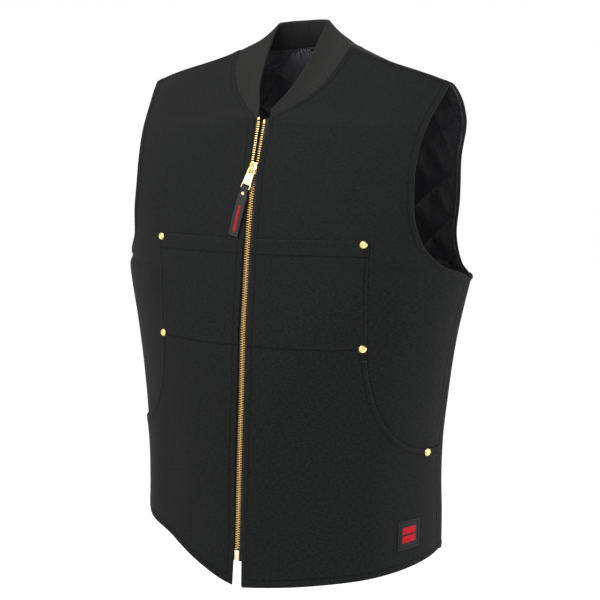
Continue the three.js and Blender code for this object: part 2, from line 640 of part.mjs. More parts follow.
// Flat pull with an eye for the bridge and a slot for the tag. Its hinge is at the origin, -Y is down.
function pullTab() {
  const { corner, low, topWidth, lowWidth, slotCorner } = PULL;
  const [halfTop, halfLow] = [topWidth / 2, lowWidth / 2];
  const shape = new THREE.Shape();
  shape.moveTo(-halfTop + corner, -PULL.barTop).lineTo(halfTop - corner, -PULL.barTop);
  shape.quadraticCurveTo(halfTop, -PULL.barTop, halfTop, -PULL.barTop - corner);
  shape.lineTo(halfLow, -PULL.slotTop + corner).lineTo(halfLow, -low + corner);
  shape.quadraticCurveTo(halfLow, -low, halfLow - corner, -low).lineTo(-halfLow + corner, -low);
  shape.quadraticCurveTo(-halfLow, -low, -halfLow, -low + corner).lineTo(-halfLow, -PULL.slotTop + corner);
  shape.lineTo(-halfTop, -PULL.barTop - corner);
  shape.quadraticCurveTo(-halfTop, -PULL.barTop, -halfTop + corner, -PULL.barTop);
  shape.holes.push(roundedRectangle(new THREE.Path(), PULL.eyeWidth / 2, -PULL.eyeLow, -PULL.eyeTop, corner));
  const slotHalf = PULL.slotWidth / 2;
  shape.holes.push(roundedRectangle(new THREE.Path(), slotHalf, -PULL.slotLow, -PULL.slotTop, slotCorner));
  return extruded(shape, -PULL.halfThickness, PULL.halfThickness, 3);
}

// Distance by which the tag bends back to the chest at a place down the pull.
function tagBend(down) {
  const share = Math.max(0, (down - TAG.closeBy) / (TAG.end - TAG.closeBy));
  return -TAG.bend * share ** 2;
}

// Narrows the tag where it passes the slot and swings its lower end sideways.
function flareTag(geometry) {
  const places = geometry.getAttribute('position');
  for (let i = 0; i < places.count; i += 1) {
    const down = -places.getY(i);
    const share = MathUtils.lerp(TAG.neckWidth / TAG.width, 1, MathUtils.smoothstep(down, ...TAG.flare));
    places.setX(i, places.getX(i) * share + TAG.swing * Math.max(0, down - TAG.closeBy));
  }
  return geometry;
}

// Doubled webbing looped round the pull's lower bar, drawn from the side and extruded across.
function pullTag() {
  const inside = PULL.halfThickness + TAG.clearance;
  const outside = inside + TAG.ply;
  const loopTop = PULL.slotLow - TAG.clearance;
  const outerTop = loopTop - TAG.ply;
  const barEnd = PULL.low + TAG.clearance;
  const toVectors = (points) => points.map(([up, out]) => new Vector2(up, out));
  const strip = (sign) => Array.from({ length: TAG.facets + 1 }, (_, i) => {
    const down = MathUtils.lerp(TAG.closeBy, TAG.end, i / TAG.facets);
    return [-down, tagBend(down) + sign * TAG.ply];
  });
  const shape = new THREE.Shape(toVectors([
    [-outerTop, -outside + TAG.round], [-outerTop - TAG.round, -outside], [-barEnd, -outside],
    ...strip(-1),
    ...strip(1).reverse(),
    [-barEnd, outside], [-outerTop - TAG.round, outside], [-outerTop, outside - TAG.round],
  ]));
  shape.holes.push(new THREE.Path(toVectors([
    [-loopTop, -inside], [-loopTop, inside], [-barEnd, inside], [-barEnd - TAG.ply, 0], [-barEnd, -inside],
  ])));
  return flareTag(extruded(shape, -TAG.width / 2, TAG.width / 2).applyMatrix4(sideToAcross));
}

// Domed cap with a rim and a shallow dimple, standing on its flat face along +Z.
function rivetCap({ radius, height, rim, dimple, sides }) {
  const { shoulderRadius, shoulderHeight, crownRadius, dimpleRadius } = CAP_SHARES;
  const profile = [
    [0, 0], [radius, 0], [radius, rim], [radius * shoulderRadius, height * shoulderHeight],
    [radius * crownRadius, height], [radius * dimpleRadius, height - dimple], [0, height - dimple],
  ].map(([r, z]) => new Vector2(r, z));
  return new THREE.LatheGeometry(profile, sides).rotateX(Math.PI / 2);
}

function rivet(side, place) {
  const inward = place.besidePocket ? POCKET.edgeX.left - POCKET.edgeX[side] : 0;
  const [point, normal] = onPanel(fronts[side], placeOnFront({ x: place.x - inward, z: place.z }));
  const mesh = new THREE.Mesh(rivetCap(RIVET), materials.brass);
  mesh.position.copy(point).addScaledVector(normal, LAYERS.pocket.outer + RIVET.stand);
  mesh.quaternion.setFromUnitVectors(new Vector3(0, 0, 1), normal);
  return mesh;
}

const vest = new THREE.Group();

function add(name, geometry, material, parent = vest) {
  const mesh = new THREE.Mesh(geometry, material);
  mesh.name = name;
  parent.add(mesh);
}

function addCloth() {
  for (const side of Object.keys(SIDES)) {
    add(`shell_front_${side}`, frontShell(side), materials.canvas);
    add(`lining_front_${side}`, frontLining(side), materials.quilt);
    add(`pocket_panel_${side}`, pocketPanel(side), materials.canvas);
  }
  add('shell_back', backShell(), materials.canvas);
  add('lining_back', backLining(), materials.quilt);
  add('collar', collar(), materials.rib);
  add('label_patch', labelPatch(), materials.label);
}

function addZip() {
  const stopZ = ZIP.topZ + REST_GAP + TOP_STOP.length / 2;
  for (const [side, sign] of Object.entries(SIDES)) {
    add(`zip_row_${side}`, zipRow(sign), materials.brass);
    add(`zip_tape_${side}`, zipTape(sign), materials.tape);
    const stopX = sign * (ZIP.topHalf + ZIP.rowInner + TOP_STOP.width / 2 - TOP_STOP.overlap);
    const stopGroup = zipGroup(stopZ, stopX);
    const stop = block(TOP_STOP.width, TOP_STOP.length, TOP_STOP.back, TOP_STOP.front);
    add(`zip_stop_${side}`, stop, materials.brass, stopGroup);
    vest.add(stopGroup);
  }
  const boxGroup = zipGroup(ZIP.boxTopZ - ZIP.boxLength / 2);
  add('zip_box', block(ZIP_BOX.width, ZIP.boxLength, ZIP_BOX.back, ZIP_BOX.front), materials.brass, boxGroup);
  vest.add(boxGroup);
}

function addSliderAndPull() {
  const sliderGroup = zipGroup(ZIP.sliderZ);
  add('zip_slider', slider(), materials.brass, sliderGroup);
  const pullGroup = new THREE.Group();
  pullGroup.position.set(0, 0, PULL.hingeOut);
  pullGroup.rotation.set(MathUtils.degToRad(PULL.tilt), 0, MathUtils.degToRad(-PULL.lean), 'ZXY');
  add('zip_pull', pullTab(), materials.brass, pullGroup);
  add('pull_tag', pullTag(), materials.webbing, pullGroup);
  const capOut = TAG.ply + REST_GAP + tagBend(TAG_RIVET.down);
  const cap = rivetCap(TAG_RIVET).translate(0, -TAG_RIVET.down, capOut);
  add('tag_rivet', cap, materials.brass, pullGroup);
  sliderGroup.add(pullGroup);
  vest.add(sliderGroup);
}

function addRivets() {
  for (const side of Object.keys(SIDES)) {
    for (const [place, centre] of Object.entries(RIVET_PLACES)) {
      const mesh = rivet(side, centre);
      mesh.name = `rivet_${place}_${side}`;
      vest.add(mesh);
    }
  }
}

addCloth();
addZip();
addSliderAndPull();
addRivets();

export default vest;
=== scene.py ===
"""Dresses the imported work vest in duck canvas, quilted nylon, rib knit and brass.

Lengths are millimetres in the part's own frame, with +Z up, the front at -Y and the wearer's left
at +X. Meshes are written in metres.
"""
import logging
import math
from contextlib import contextmanager
from dataclasses import dataclass, field
from enum import Enum
from functools import partial
from typing import Any, Callable, Iterator, Sequence

import bmesh
import bpy
import numpy as np
from mathutils import Matrix, Vector
from mathutils.geometry import delaunay_2d_cdt


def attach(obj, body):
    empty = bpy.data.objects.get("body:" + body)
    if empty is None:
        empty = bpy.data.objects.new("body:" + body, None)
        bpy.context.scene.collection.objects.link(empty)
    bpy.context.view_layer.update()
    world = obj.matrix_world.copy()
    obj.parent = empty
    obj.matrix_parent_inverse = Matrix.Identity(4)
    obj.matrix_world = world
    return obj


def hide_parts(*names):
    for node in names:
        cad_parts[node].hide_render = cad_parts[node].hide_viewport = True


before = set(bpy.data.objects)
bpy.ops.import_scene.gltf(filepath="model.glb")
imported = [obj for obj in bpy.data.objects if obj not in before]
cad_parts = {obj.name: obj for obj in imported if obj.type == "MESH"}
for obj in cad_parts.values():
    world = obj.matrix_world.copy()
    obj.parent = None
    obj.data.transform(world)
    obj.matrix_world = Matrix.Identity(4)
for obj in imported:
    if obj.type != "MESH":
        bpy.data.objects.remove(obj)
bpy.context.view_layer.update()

log = logging.getLogger("vest")

MM = 0.001
Point = tuple[float, float, float]
Array = np.ndarray
ACROSS = np.array([1.0, 0.0, 0.0])


class Side(Enum):
    """Half of the vest, by the sign of its X."""

    LEFT = 1
    RIGHT = -1

    @property
    def word(self) -> str:
        """Name of the side as it ends a piece's name."""
        return self.name.lower()


class Body(Enum):
    """CAD bodies that the pieces ride on."""

    VEST = "vest"
    PULL = "pull"


class Slot(Enum):
    """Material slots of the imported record."""

    CANVAS = "canvas"
    QUILT = "quilt"
    RIB = "rib"
    TAPE = "tape"
    BRASS = "brass"
    WEBBING = "webbing"
    LABEL = "label"


def smoothstep(value: Array | float, low: float, high: float) -> Array:
    """Smooth rise from 0 at low to 1 at high.

    Args:
        value: Numbers to grade.
        low: Where the rise starts.
        high: Where it ends.

    Returns:
        The graded numbers.
    """
    share = np.clip((np.asarray(value, float) - low) / (high - low), 0.0, 1.0)
    return share * share * (3.0 - 2.0 * share)


def hump(distance: Array, width: float) -> Array:
    """Bell curve of a distance, 1 at its centre and a third at its width."""
    return np.exp(-((distance / width) ** 2))


def lerp(a: Array | float, b: Array | float, share: Array | float) -> Array:
    """Straight mix of two values."""
    return a + (b - a) * share


def wander(along: Array, pitch: float, seed: int) -> Array:
    """Smooth uneven wave, for puckers and rolls that never repeat.

    Args:
        along: Distances along the wave.
        pitch: Its usual wavelength.
        seed: Which wave it is.

    Returns:
        Heights from about -1 to 1.
    """
    phases = np.random.default_rng(seed).uniform(0.0, 2.0 * math.pi, 4)
    stretches = (1.0, 1.37, 1.83, 2.61)
    waves = [np.sin(2.0 * math.pi * along / (pitch * s) + p) for s, p in zip(stretches, phases)]
    return sum(waves) / 2.4


def unit(vectors: Array) -> Array:
    """Vectors scaled to length 1."""
    return vectors / np.maximum(np.linalg.norm(vectors, axis=-1, keepdims=True), 1e-12)


def lengths_along(path: Array) -> Array:
    """Running length of a path at each of its points, from 0."""
    return np.concatenate([[0.0], np.cumsum(np.linalg.norm(np.diff(path, axis=0), axis=1))])


def points_along(places: Array, run: Array, path: Array) -> Array:
    """Points of a path at places on a rising scale that has a value for each of its points."""
    return np.stack([np.interp(places, run, path[:, k]) for k in range(path.shape[1])], -1)


def new_object(name: str, data: bpy.types.ID) -> bpy.types.Object:
    """New object around a mesh, curve, camera or light, linked to the scene."""
    made = bpy.data.objects.new(name, data)
    bpy.context.scene.collection.objects.link(made)
    return made


def new_mesh(name: str, points: Array, faces: Sequence[Sequence[int]]) -> bpy.types.Mesh:
    """New mesh in metres, from corners in millimetres."""
    mesh = bpy.data.meshes.new(name)
    mesh.from_pydata((points * MM).tolist(), [], faces)
    return mesh


@dataclass(frozen=True)
class MonotoneCurve:
    """Cubic curve through a list of numbers that never overshoots them.

    The curve may turn sharply at one corner, and it is level at its last value if flat_end is set.
    """

    values: tuple[float, ...]
    corner: int = -1
    flat_end: bool = False

    def __call__(self, place: Array) -> Array:
        """Values of the curve at places counted in list items."""
        values = np.array(self.values, float)
        steps = np.diff(values)
        before = np.concatenate([steps[:1], steps])
        after = np.concatenate([steps, [0.0 if self.flat_end else steps[-1]]])
        same = before * after > 0
        slopes = np.where(same, 2 * before * after / np.where(same, before + after, 1.0), 0.0)
        i = np.clip(np.floor(place).astype(int), 0, len(values) - 2)
        u = place - i
        rise = steps[i]
        start = np.where(i == self.corner, rise, slopes[i]) - rise
        end = np.where(i + 1 == self.corner, rise, slopes[i + 1]) - rise
        return values[i] + rise * u + u * (1 - u) * ((1 - u) * start - u * end)


@dataclass(frozen=True)
class PointCurve:
    """Curve in space through a list of points."""

    points: tuple[Point, ...]
    corner: int = -1
    flat_top: bool = False

    def __call__(self, place: Array) -> Array:
        """Points of the curve, with their three numbers on the last axis."""
        axes = [
            MonotoneCurve(tuple(p[k] for p in self.points), self.corner, self.flat_top and k == 2)
            for k in range(3)
        ]
        return np.stack([axis(np.asarray(place, float)) for axis in axes], -1)


# Side seam of the wearer's left, from the hem to the underarm.
SIDE_SEAM: tuple[Point, ...] = (
    (220.5, -13, -658),
    (220, -12, -587),
    (223.5, -12, -517),
    (231, -11, -452),
    (243.5, -10, -374),
    (260.5, -7, -299),
)
NECK_POINT: Point = (86.7, 0, 0)
SHOULDER_TIP: Point = (229, 0, -53)


@dataclass(frozen=True)
class PanelCut:
    """Edges of half a panel, level by level from the hem to the shoulder.

    Each level is an arc from the inner edge (zip, neck or centre back) to the outer edge (side seam
    or armhole) that turns through an angle in plan. The inner edge has a corner where the neck starts.
    """

    inner: tuple[Point, ...]
    outer: tuple[Point, ...]
    turns: tuple[float, ...]
    corner: int
    is_front: bool
    underarm: int = 5


FRONT_CUT = PanelCut(
    inner=(
        (8.7, -154, -706), (6.5, -147, -600), (6.5, -142.5, -519), (6.5, -138, -450),
        (6.5, -133.5, -372), (6.5, -126, -300), (6.5, -124, -279), (6.5, -121, -255),
        (6.5, -115, -213), (6.5, -106, -165), (11, -85, -95), (34, -67, -80),
        (62, -47, -56), (79, -24, -26), NECK_POINT,
    ),
    outer=SIDE_SEAM + (
        (241.5, -49, -279), (222.5, -66, -252), (215, -76, -213), (213, -72, -168), (216, -57, -121),
        (219, -44, -101), (223, -27, -81), (227, -11, -63), SHOULDER_TIP,
    ),
    turns=(90, 90, 90, 90, 90, 90, 70, 61, 55, 54, 50, 45, 40, 35, 30),
    corner=10,
    is_front=True,
)
BACK_CUT = PanelCut(
    inner=(
        (0, 100, -684), (0, 98, -600), (0, 99, -519), (0, 101, -450), (0, 105, -372), (0, 108, -300),
        (0, 108, -285), (0, 108, -262), (0, 107, -205), (0, 103, -130), (0, 88, -50), (0, 68, 6),
        (34, 62, 6), (62, 47, 5), (80, 25, 3), NECK_POINT,
    ),
    outer=SIDE_SEAM + (
        (255.5, 21, -300), (232.5, 38, -284), (219, 47, -243), (223.5, 45, -202), (225.5, 43.5, -152),
        (233.5, 40, -110), (235.5, 35, -95), (235.5, 27, -80), (233.5, 13, -63), SHOULDER_TIP,
    ),
    turns=(90, 90, 90, 90, 90, 90, 76, 66, 60, 58, 54, 48, 44, 40, 35, 30),
    corner=11,
    is_front=False,
)


@dataclass(frozen=True)
class Roll:
    """One shallow roll of the stiff canvas: a ridge or, with a negative height, a hollow."""

    x: float
    z: float
    lean: float
    width: float
    length: float
    height: float
    front: bool = True

    def push(self, points: Array) -> Array:
        """Height of the roll at points, fading out before it reaches the side seam."""
        tilt = math.radians(self.lean)
        dx = points[..., 0] - self.x
        dz = points[..., 2] - self.z
        across = dx * math.cos(tilt) - dz * math.sin(tilt)
        along = dx * math.sin(tilt) + dz * math.cos(tilt)
        facing = -points[..., 1] if self.front else points[..., 1]
        inside = smoothstep(facing, 5.0 if self.front else 0.0, 45.0)
        return self.height * hump(across, self.width) * hump(along, self.length) * inside


@dataclass(frozen=True)
class Drape:
    """How the stiff cloth hangs off its smooth form, as a push along the normal."""

    rolls: tuple[Roll, ...] = (
        Roll(-166, -640, 4, 20, 120, 1.8),
        Roll(-120, -650, 2, 26, 110, -1.6),
        Roll(168, -640, -6, 26, 110, 1.7),
        Roll(118, -655, -3, 28, 90, -1.3),
        Roll(60, -560, 8, 40, 120, 0.9),
        Roll(-150, -300, 55, 20, 55, 1.1),
        Roll(178, -318, -52, 18, 60, 1.3),
        Roll(120, -170, -60, 34, 70, -1.0),
        Roll(-110, -150, 62, 30, 60, 0.9),
        Roll(0, -330, 88, 34, 160, 1.2, False),
        Roll(20, -400, 86, 26, 150, -1.4, False),
        Roll(-20, -470, 94, 30, 150, 1.5, False),
        Roll(-90, -610, 3, 26, 110, 1.8, False),
        Roll(40, -620, -2, 34, 120, -1.6, False),
        Roll(120, -610, -4, 28, 120, 1.9, False),
        Roll(150, -210, 58, 24, 80, 1.2, False),
        Roll(-150, -220, -56, 24, 80, 1.3, False),
    )
    ripple: float = 0.45
    ripple_pitch: float = 120.0
    plain_half: float = 14.0
    full_half: float = 55.0

    def push(self, points: Array) -> Array:
        """Push along the normal at points of the smooth form: none at the zip and the neck."""
        x, y, z = (points[..., k] for k in range(3))
        heights = sum(roll.push(points) for roll in self.rolls)
        for seed, direction in enumerate(((0.9, 0.2, 0.4), (-0.3, 0.5, 0.8), (0.5, -0.7, 0.5))):
            along = x * direction[0] + y * direction[1] + z * direction[2]
            heights = heights + self.ripple * wander(along, self.ripple_pitch, 40 + seed)
        clear_of_neck = smoothstep(np.hypot(x, y), 95.0, 150.0)
        beside_neck = lerp(1.0, clear_of_neck, smoothstep(z, -150.0, -100.0))
        front = smoothstep(np.abs(x), self.plain_half, self.full_half)
        return heights * np.where(y < 0, front, 1.0) * beside_neck


class PanelSurface:
    """Inner face of the shell over half of the front or the back, by level and arc.

    Levels run from the hem (0) to the shoulder seam. Arcs run from the zip, neck or centre back (0)
    to the side seam or armhole (1).
    """

    SHOULDER_LIFT = 13.0
    FRONT_HEM_LIFT = 1.0
    SIDE_HEM_LIFT = 30.0
    ZIP_CLOSING = 2.8
    SHOULDER_SAG = 3.6
    CHEST_SWAY = -3.0
    CHEST_Z = -360.0
    CHEST_REACH = 110.0
    HIP_SWAY = 3.0
    LEVEL_STEPS = 12
    ARC_STEPS = 40

    def __init__(self, cut: PanelCut, side: Side, drape: Drape) -> None:
        """Prepares the curves and the tables of lengths along the cloth.

        Args:
            cut: Edges of the wearer's left half.
            side: Which half this one is.
            drape: How the cloth hangs off its smooth form.
        """
        self.cut = cut
        self.side = side
        self.drape = drape
        self.top = len(cut.inner) - 1
        self.outward = side.value if cut.is_front else -side.value
        self._inner = PointCurve(cut.inner, cut.corner, True)
        self._smooth_inner = PointCurve(cut.inner, -1, True)
        self._outer = PointCurve(cut.outer, -1, True)
        self._turn = MonotoneCurve(tuple(math.radians(t) for t in cut.turns))
        self._levels = np.linspace(0, self.top, self.top * self.LEVEL_STEPS + 1)
        self._arcs = np.linspace(0, 1, self.ARC_STEPS + 1)
        points = self.at(self._levels[:, None], self._arcs[None, :])
        self._across = self._running(points, 1)
        self._up = self._running(points, 0)
        self._middle = self._up[:, self.ARC_STEPS // 2]

    @staticmethod
    def _running(points: Array, axis: int) -> Array:
        """Running length of a grid of points along one of its axes."""
        steps = np.linalg.norm(np.diff(points, axis=axis), axis=-1)
        start = np.zeros_like(np.take(steps, [0], axis=axis))
        return np.concatenate([start, np.cumsum(steps, axis=axis)], axis=axis)

    def _read(self, table: Array, level: Array, arc: Array) -> Array:
        """Value of a table of lengths between its entries."""
        i = np.clip(np.asarray(level) * self.LEVEL_STEPS, 0, table.shape[0] - 1.000001)
        j = np.clip(np.asarray(arc) * self.ARC_STEPS, 0, table.shape[1] - 1.000001)
        i0 = i.astype(int)
        j0 = j.astype(int)
        low = lerp(table[i0, j0], table[i0, j0 + 1], j - j0)
        high = lerp(table[i0 + 1, j0], table[i0 + 1, j0 + 1], j - j0)
        return lerp(low, high, i - i0)

    def at(self, level: Array, arc: Array) -> Array:
        """Points of the smooth form, without the rolls of the cloth."""
        level, arc = np.broadcast_arrays(np.asarray(level, float), np.asarray(arc, float))
        turn = self._turn(level)
        past_corner = smoothstep(arc, 0.0, 0.4)[..., None]
        a = lerp(self._inner(level), self._smooth_inner(level), past_corner)
        b = self._outer(level)
        x = lerp(a[..., 0], b[..., 0], np.sin(arc * turn) / np.sin(turn))
        y = lerp(a[..., 1], b[..., 1], (1 - np.cos(arc * turn)) / (1 - np.cos(turn)))
        share = arc
        if not self.cut.is_front:
            level_at_centre = 1 - np.cos(arc * math.pi / 2)
            near_neck = smoothstep(level, self.cut.corner - 1.5, self.cut.corner + 1)
            share = lerp(level_at_centre, arc, near_neck)
        z = lerp(a[..., 2], b[..., 2], share)
        return self._settle(np.stack([self.side.value * x, y, z], -1))

    def _settle(self, points: Array) -> Array:
        """Shifts the points by smooth amounts where the worn vest is uneven.

        The wearer's right shoulder tip and hem ride up, its front closes in below the zip, the other
        shoulder sags and the body leans.

        Args:
            points: Points of the even form, which are changed.

        Returns:
            The same points.
        """
        out = np.maximum(-points[..., 0], 0.0)
        z = points[..., 2]
        shoulder = smoothstep(out, 90, 230) * smoothstep(z, -190, -60)
        if self.cut.is_front:
            hem = lerp(self.FRONT_HEM_LIFT, self.SIDE_HEM_LIFT, smoothstep(out, 5, 140))
            closing = self.ZIP_CLOSING * smoothstep(-z, 560, 650) * (1 - smoothstep(out, 8, 80))
            points[..., 0] += np.where(out > 0, closing, 0.0)
        else:
            hem = self.SIDE_HEM_LIFT * smoothstep(out, 20, 200)
        lift = np.where(out > 0, self.SHOULDER_LIFT * shoulder + hem * smoothstep(-z, 480, 680), 0.0)
        sag = self.SHOULDER_SAG * hump(points[..., 0] - 135, 55) * smoothstep(z, -110, -50)
        z = z + lift - sag
        at_chest = hump(z - self.CHEST_Z, self.CHEST_REACH)
        sway = self.CHEST_SWAY * at_chest + self.HIP_SWAY * smoothstep(-z, 500, 620)
        points[..., 0] += sway * smoothstep(np.abs(points[..., 0]), 60, 200)
        points[..., 2] = z
        return points

    def normal(self, level: Array, arc: Array) -> Array:
        """Unit normals that point away from the body."""
        step = 1e-3
        level, arc = np.broadcast_arrays(np.asarray(level, float), np.asarray(arc, float))
        across = self.at(level, np.minimum(arc + step, 1)) - self.at(level, np.maximum(arc - step, 0))
        up = self.at(np.minimum(level + step, self.top), arc) - self.at(np.maximum(level - step, 0), arc)
        normals = np.cross(across, up) * self.outward
        if not self.cut.is_front:
            normals[(arc == 0) & (level <= self.cut.corner), 0] = 0.0
        return unit(normals)

    def hung(self, level: Array, arc: Array) -> tuple[Array, Array]:
        """Points of the hanging cloth and their normals."""
        points = self.at(level, arc)
        normals = self.normal(level, arc)
        return points + normals * self.drape.push(points)[..., None], normals

    def from_inner(self, level: Array, arc: Array) -> Array:
        """Distance from the inner edge, along the cloth."""
        return self._read(self._across, level, arc)

    def width(self, level: Array) -> Array:
        """Whole width of the panel at levels, along the cloth."""
        return self._read(self._across, level, np.ones_like(np.asarray(level, float)))

    def to_outer(self, level: Array, arc: Array) -> Array:
        """Distance to the outer edge, along the cloth."""
        return self.width(level) - self.from_inner(level, arc)

    def from_hem(self, level: Array, arc: Array) -> Array:
        """Distance up from the hem, along the cloth."""
        return self._read(self._up, level, arc)

    def to_shoulder(self, level: Array, arc: Array) -> Array:
        """Distance up to the shoulder seam, along the cloth."""
        top = np.full_like(np.asarray(level, float), self.top)
        return self._read(self._up, top, arc) - self.from_hem(level, arc)

    def flat(self, level: Array, arc: Array) -> Array:
        """Place on the flat cut: across from the centre of the body and up from the hem."""
        across = self._inner(np.asarray(level, float))[..., 0] + self.from_inner(level, arc)
        up = np.interp(level, self._levels, self._middle)
        return np.stack([across, up], -1)

    def locate(self, flat: Array) -> tuple[Array, Array]:
        """Level and arc of places on the flat cut.

        Args:
            flat: Places as flat() gives them.

        Returns:
            Levels and arcs.
        """
        level = self.level_at(flat[..., 1])
        wanted = flat[..., 0] - self._inner(level)[..., 0]
        arc = np.clip(wanted / self.width(level), 0, 1)
        step = 0.01
        for _ in range(3):
            low, high = np.maximum(arc - step, 0), np.minimum(arc + step, 1)
            slope = (self.from_inner(level, high) - self.from_inner(level, low)) / (high - low)
            arc = np.clip(arc + (wanted - self.from_inner(level, arc)) / slope, 0, 1)
        return level, arc

    def level_at(self, up: Array) -> Array:
        """Levels at distances up the middle of the panel from the hem."""
        return np.interp(up, self._middle, self._levels)

    def arc_at(self, level: Array, across: Array) -> Array:
        """Arcs at distances from the inner edge."""
        inner_x = self._inner(np.asarray(level, float))[..., 0]
        up = np.interp(level, self._levels, self._middle)
        return self.locate(np.stack(np.broadcast_arrays(inner_x + across, up), -1))[1]

    @property
    def height(self) -> float:
        """Length of the middle of the panel from the hem to the shoulder seam."""
        return float(self._middle[-1])

    def place(self, x: float, z: float) -> tuple[float, float]:
        """Level and arc of a point of the wearer's left front by its X and Z.

        Args:
            x: Distance from the centre plane.
            z: Height.

        Returns:
            Level and arc.
        """
        left = self if self.side is Side.LEFT else PanelSurface(self.cut, Side.LEFT, self.drape)
        level = float(self.cut.underarm)
        arc = 0.5
        fine = np.linspace(0, 1, 801)
        tall = np.linspace(0, self.cut.corner, 1601)
        for _ in range(12):
            arc = float(np.interp(x, left.at(level, fine)[:, 0], fine))
            level = float(np.interp(z, left.at(tall, arc)[:, 2], tall))
        return level, arc


@dataclass
class Relief:
    """Outer and inner face of a cloth layer at some places, as distances from the shell's inner face.

    The third value is positive where the cloth is rubbed paler. It is negative in stitched furrows, where
    it paints shade. The fourth value paints light or shade on the inner face.
    """

    outer: Array
    inner: Array
    wear: Array
    inner_wear: Array | float = 0.0


@dataclass(frozen=True)
class Topstitch:
    """Line of stitches at a distance from an edge, and how it draws the cloth in."""

    inset: float
    depth: float = 0.4
    width: float = 0.7
    pucker: float = 0.2
    pucker_pitch: float = 8.0
    pucker_width: float = 5.0

    def furrow(self, distance: Array) -> Array:
        """Depth of the furrow at distances from the edge."""
        return -self.depth * hump(distance - self.inset, self.width)

    def puckers(self, distance: Array, along: Array, seed: int) -> Array:
        """Height of the small puckers beside the line."""
        near = hump(distance - self.inset, self.pucker_width)
        return self.pucker * near * wander(along, self.pucker_pitch, seed)


@dataclass(frozen=True)
class Edge:
    """Turned-in edge of a cloth panel: its raised fold and the stitches that hold it."""

    distance: Array
    along: Array
    seed: int
    fold: float = 0.0
    fold_width: float = 10.5
    stitches: tuple[Topstitch, ...] = ()
    fold_slope: float = 2.4

    def height(self) -> Array:
        """Height that the edge adds to the outer face."""
        step = smoothstep(self.fold_width + self.fold_slope / 2 - self.distance, 0.0, self.fold_slope)
        total = self.fold * step
        for number, stitch in enumerate(self.stitches):
            total = total + stitch.furrow(self.distance)
            total = total + stitch.puckers(self.distance, self.along, self.seed + 7 * number)
        return total

    def wear(self) -> Array:
        """Paler rub on the fold's lip, and painted shade in the stitched furrows."""
        rub = 0.12 * hump(self.distance, 1.2)
        return rub - sum((0.5 * hump(self.distance - s.inset, 0.8) for s in self.stitches), 0.0)


def rounded(distance: Array, radius: float) -> Array:
    """Share of the full thickness at a distance from a rounded edge."""
    share = np.clip(distance / radius, 0.0, 1.0)
    return np.sqrt(np.maximum(0.0, 1.0 - (1.0 - share) ** 2))


EDGE_STEPS = np.array([0.0, 0.1, 0.32, 0.75, 1.7, 3.1, 4.8, 6.2, 7.1, 8.0, 8.9, 9.8, 11.0, 12.8, 15.4])


def spaced(length: float, pitch: float, at_start: Array, at_end: Array) -> Array:
    """Distances along a length, close together at its two ends.

    Args:
        length: Whole length.
        pitch: Spacing between the ends.
        at_start: Distances from the start, the first of them 0.
        at_end: Distances from the end, the first of them 0.

    Returns:
        Rising distances from 0 to the length.
    """
    low = at_start[-1]
    high = length - at_end[-1]
    middle = np.linspace(low, high, max(2, int(round((high - low) / pitch)) + 1))
    return np.concatenate([at_start[:-1], middle, length - at_end[::-1][1:]])


def grid_faces(rows: int, columns: int, outward: float) -> Array:
    """Quads of a grid of points in row order, facing out for a positive sign."""
    i = np.arange(rows - 1)[:, None] * columns + np.arange(columns - 1)[None, :]
    quads = np.stack([i, i + 1, i + columns + 1, i + columns], -1).reshape(-1, 4)
    return quads if outward > 0 else quads[:, ::-1]


def border(faces: Array) -> Array:
    """Indices of the points on edges that only one face uses."""
    pairs = np.stack([faces, np.roll(faces, -1, 1)], -1).reshape(-1, 2)
    edges, uses = np.unique(np.sort(pairs, 1), axis=0, return_counts=True)
    return np.unique(edges[uses == 1])


class ClothMesh:
    """Closed wall of cloth between an outer and an inner face that meet at the border."""

    def __init__(self, base: Array, normals: Array, faces: Array, flat: Array) -> None:
        """Keeps the middle sheet of the wall.

        Args:
            base: Points of the sheet.
            normals: Unit normals that point out.
            faces: Faces of the sheet, seen from outside.
            flat: Place of each point on the flat cut.
        """
        self.base = base
        self.normals = normals
        self.faces = faces
        self.flat = flat
        self.rim = np.zeros(len(base), bool)
        self.rim[border(faces)] = True

    def build(self, name: str, relief: Relief) -> bpy.types.Object:
        """Makes the wall as a new object.

        Args:
            name: Name of the piece.
            relief: Faces of the wall at the points of the sheet.

        Returns:
            The object.
        """
        count = len(self.base)
        middle = (relief.outer + relief.inner) / 2
        outer = np.where(self.rim, middle, relief.outer)
        points = [self.base + self.normals * outer[:, None]]
        inner_index = np.where(self.rim, np.arange(count), count + np.cumsum(~self.rim) - 1)
        points.append((self.base + self.normals * relief.inner[:, None])[~self.rim])
        faces = np.concatenate([self.faces, inner_index[self.faces][:, ::-1]])
        flat = np.concatenate([self.flat, self.flat[~self.rim]])
        wear = np.concatenate([relief.wear, (relief.inner_wear + 0 * relief.wear)[~self.rim]])
        return cloth_object(name, np.concatenate(points), faces, flat, wear)


def cloth_object(name: str, points: Array, faces: Array, flat: Array, wear: Array) -> bpy.types.Object:
    """New smooth mesh object with the flat cut as its UV map, in metres.

    Args:
        name: Name of the piece.
        points: Corners in millimetres.
        faces: Corner indices of each face.
        flat: Place of each corner on the flat cut, in millimetres.
        wear: Rub at each corner, with painted shade in furrows and painted light on the canvas's inner
            face.

    Returns:
        The object, linked to the scene.
    """
    mesh = new_mesh(name, points, faces.tolist())
    corners = np.empty(len(mesh.loops), np.int32)
    mesh.loops.foreach_get("vertex_index", corners)
    layer = mesh.uv_layers.new(name="cloth")
    layer.uv.foreach_set("vector", (flat[corners] * MM).astype(np.float32).ravel())
    attribute = mesh.attributes.new("wear", "FLOAT", "POINT")
    attribute.data.foreach_set("value", wear.astype(np.float32))
    mesh.shade_smooth()
    mesh.update()
    return new_object(name, mesh)


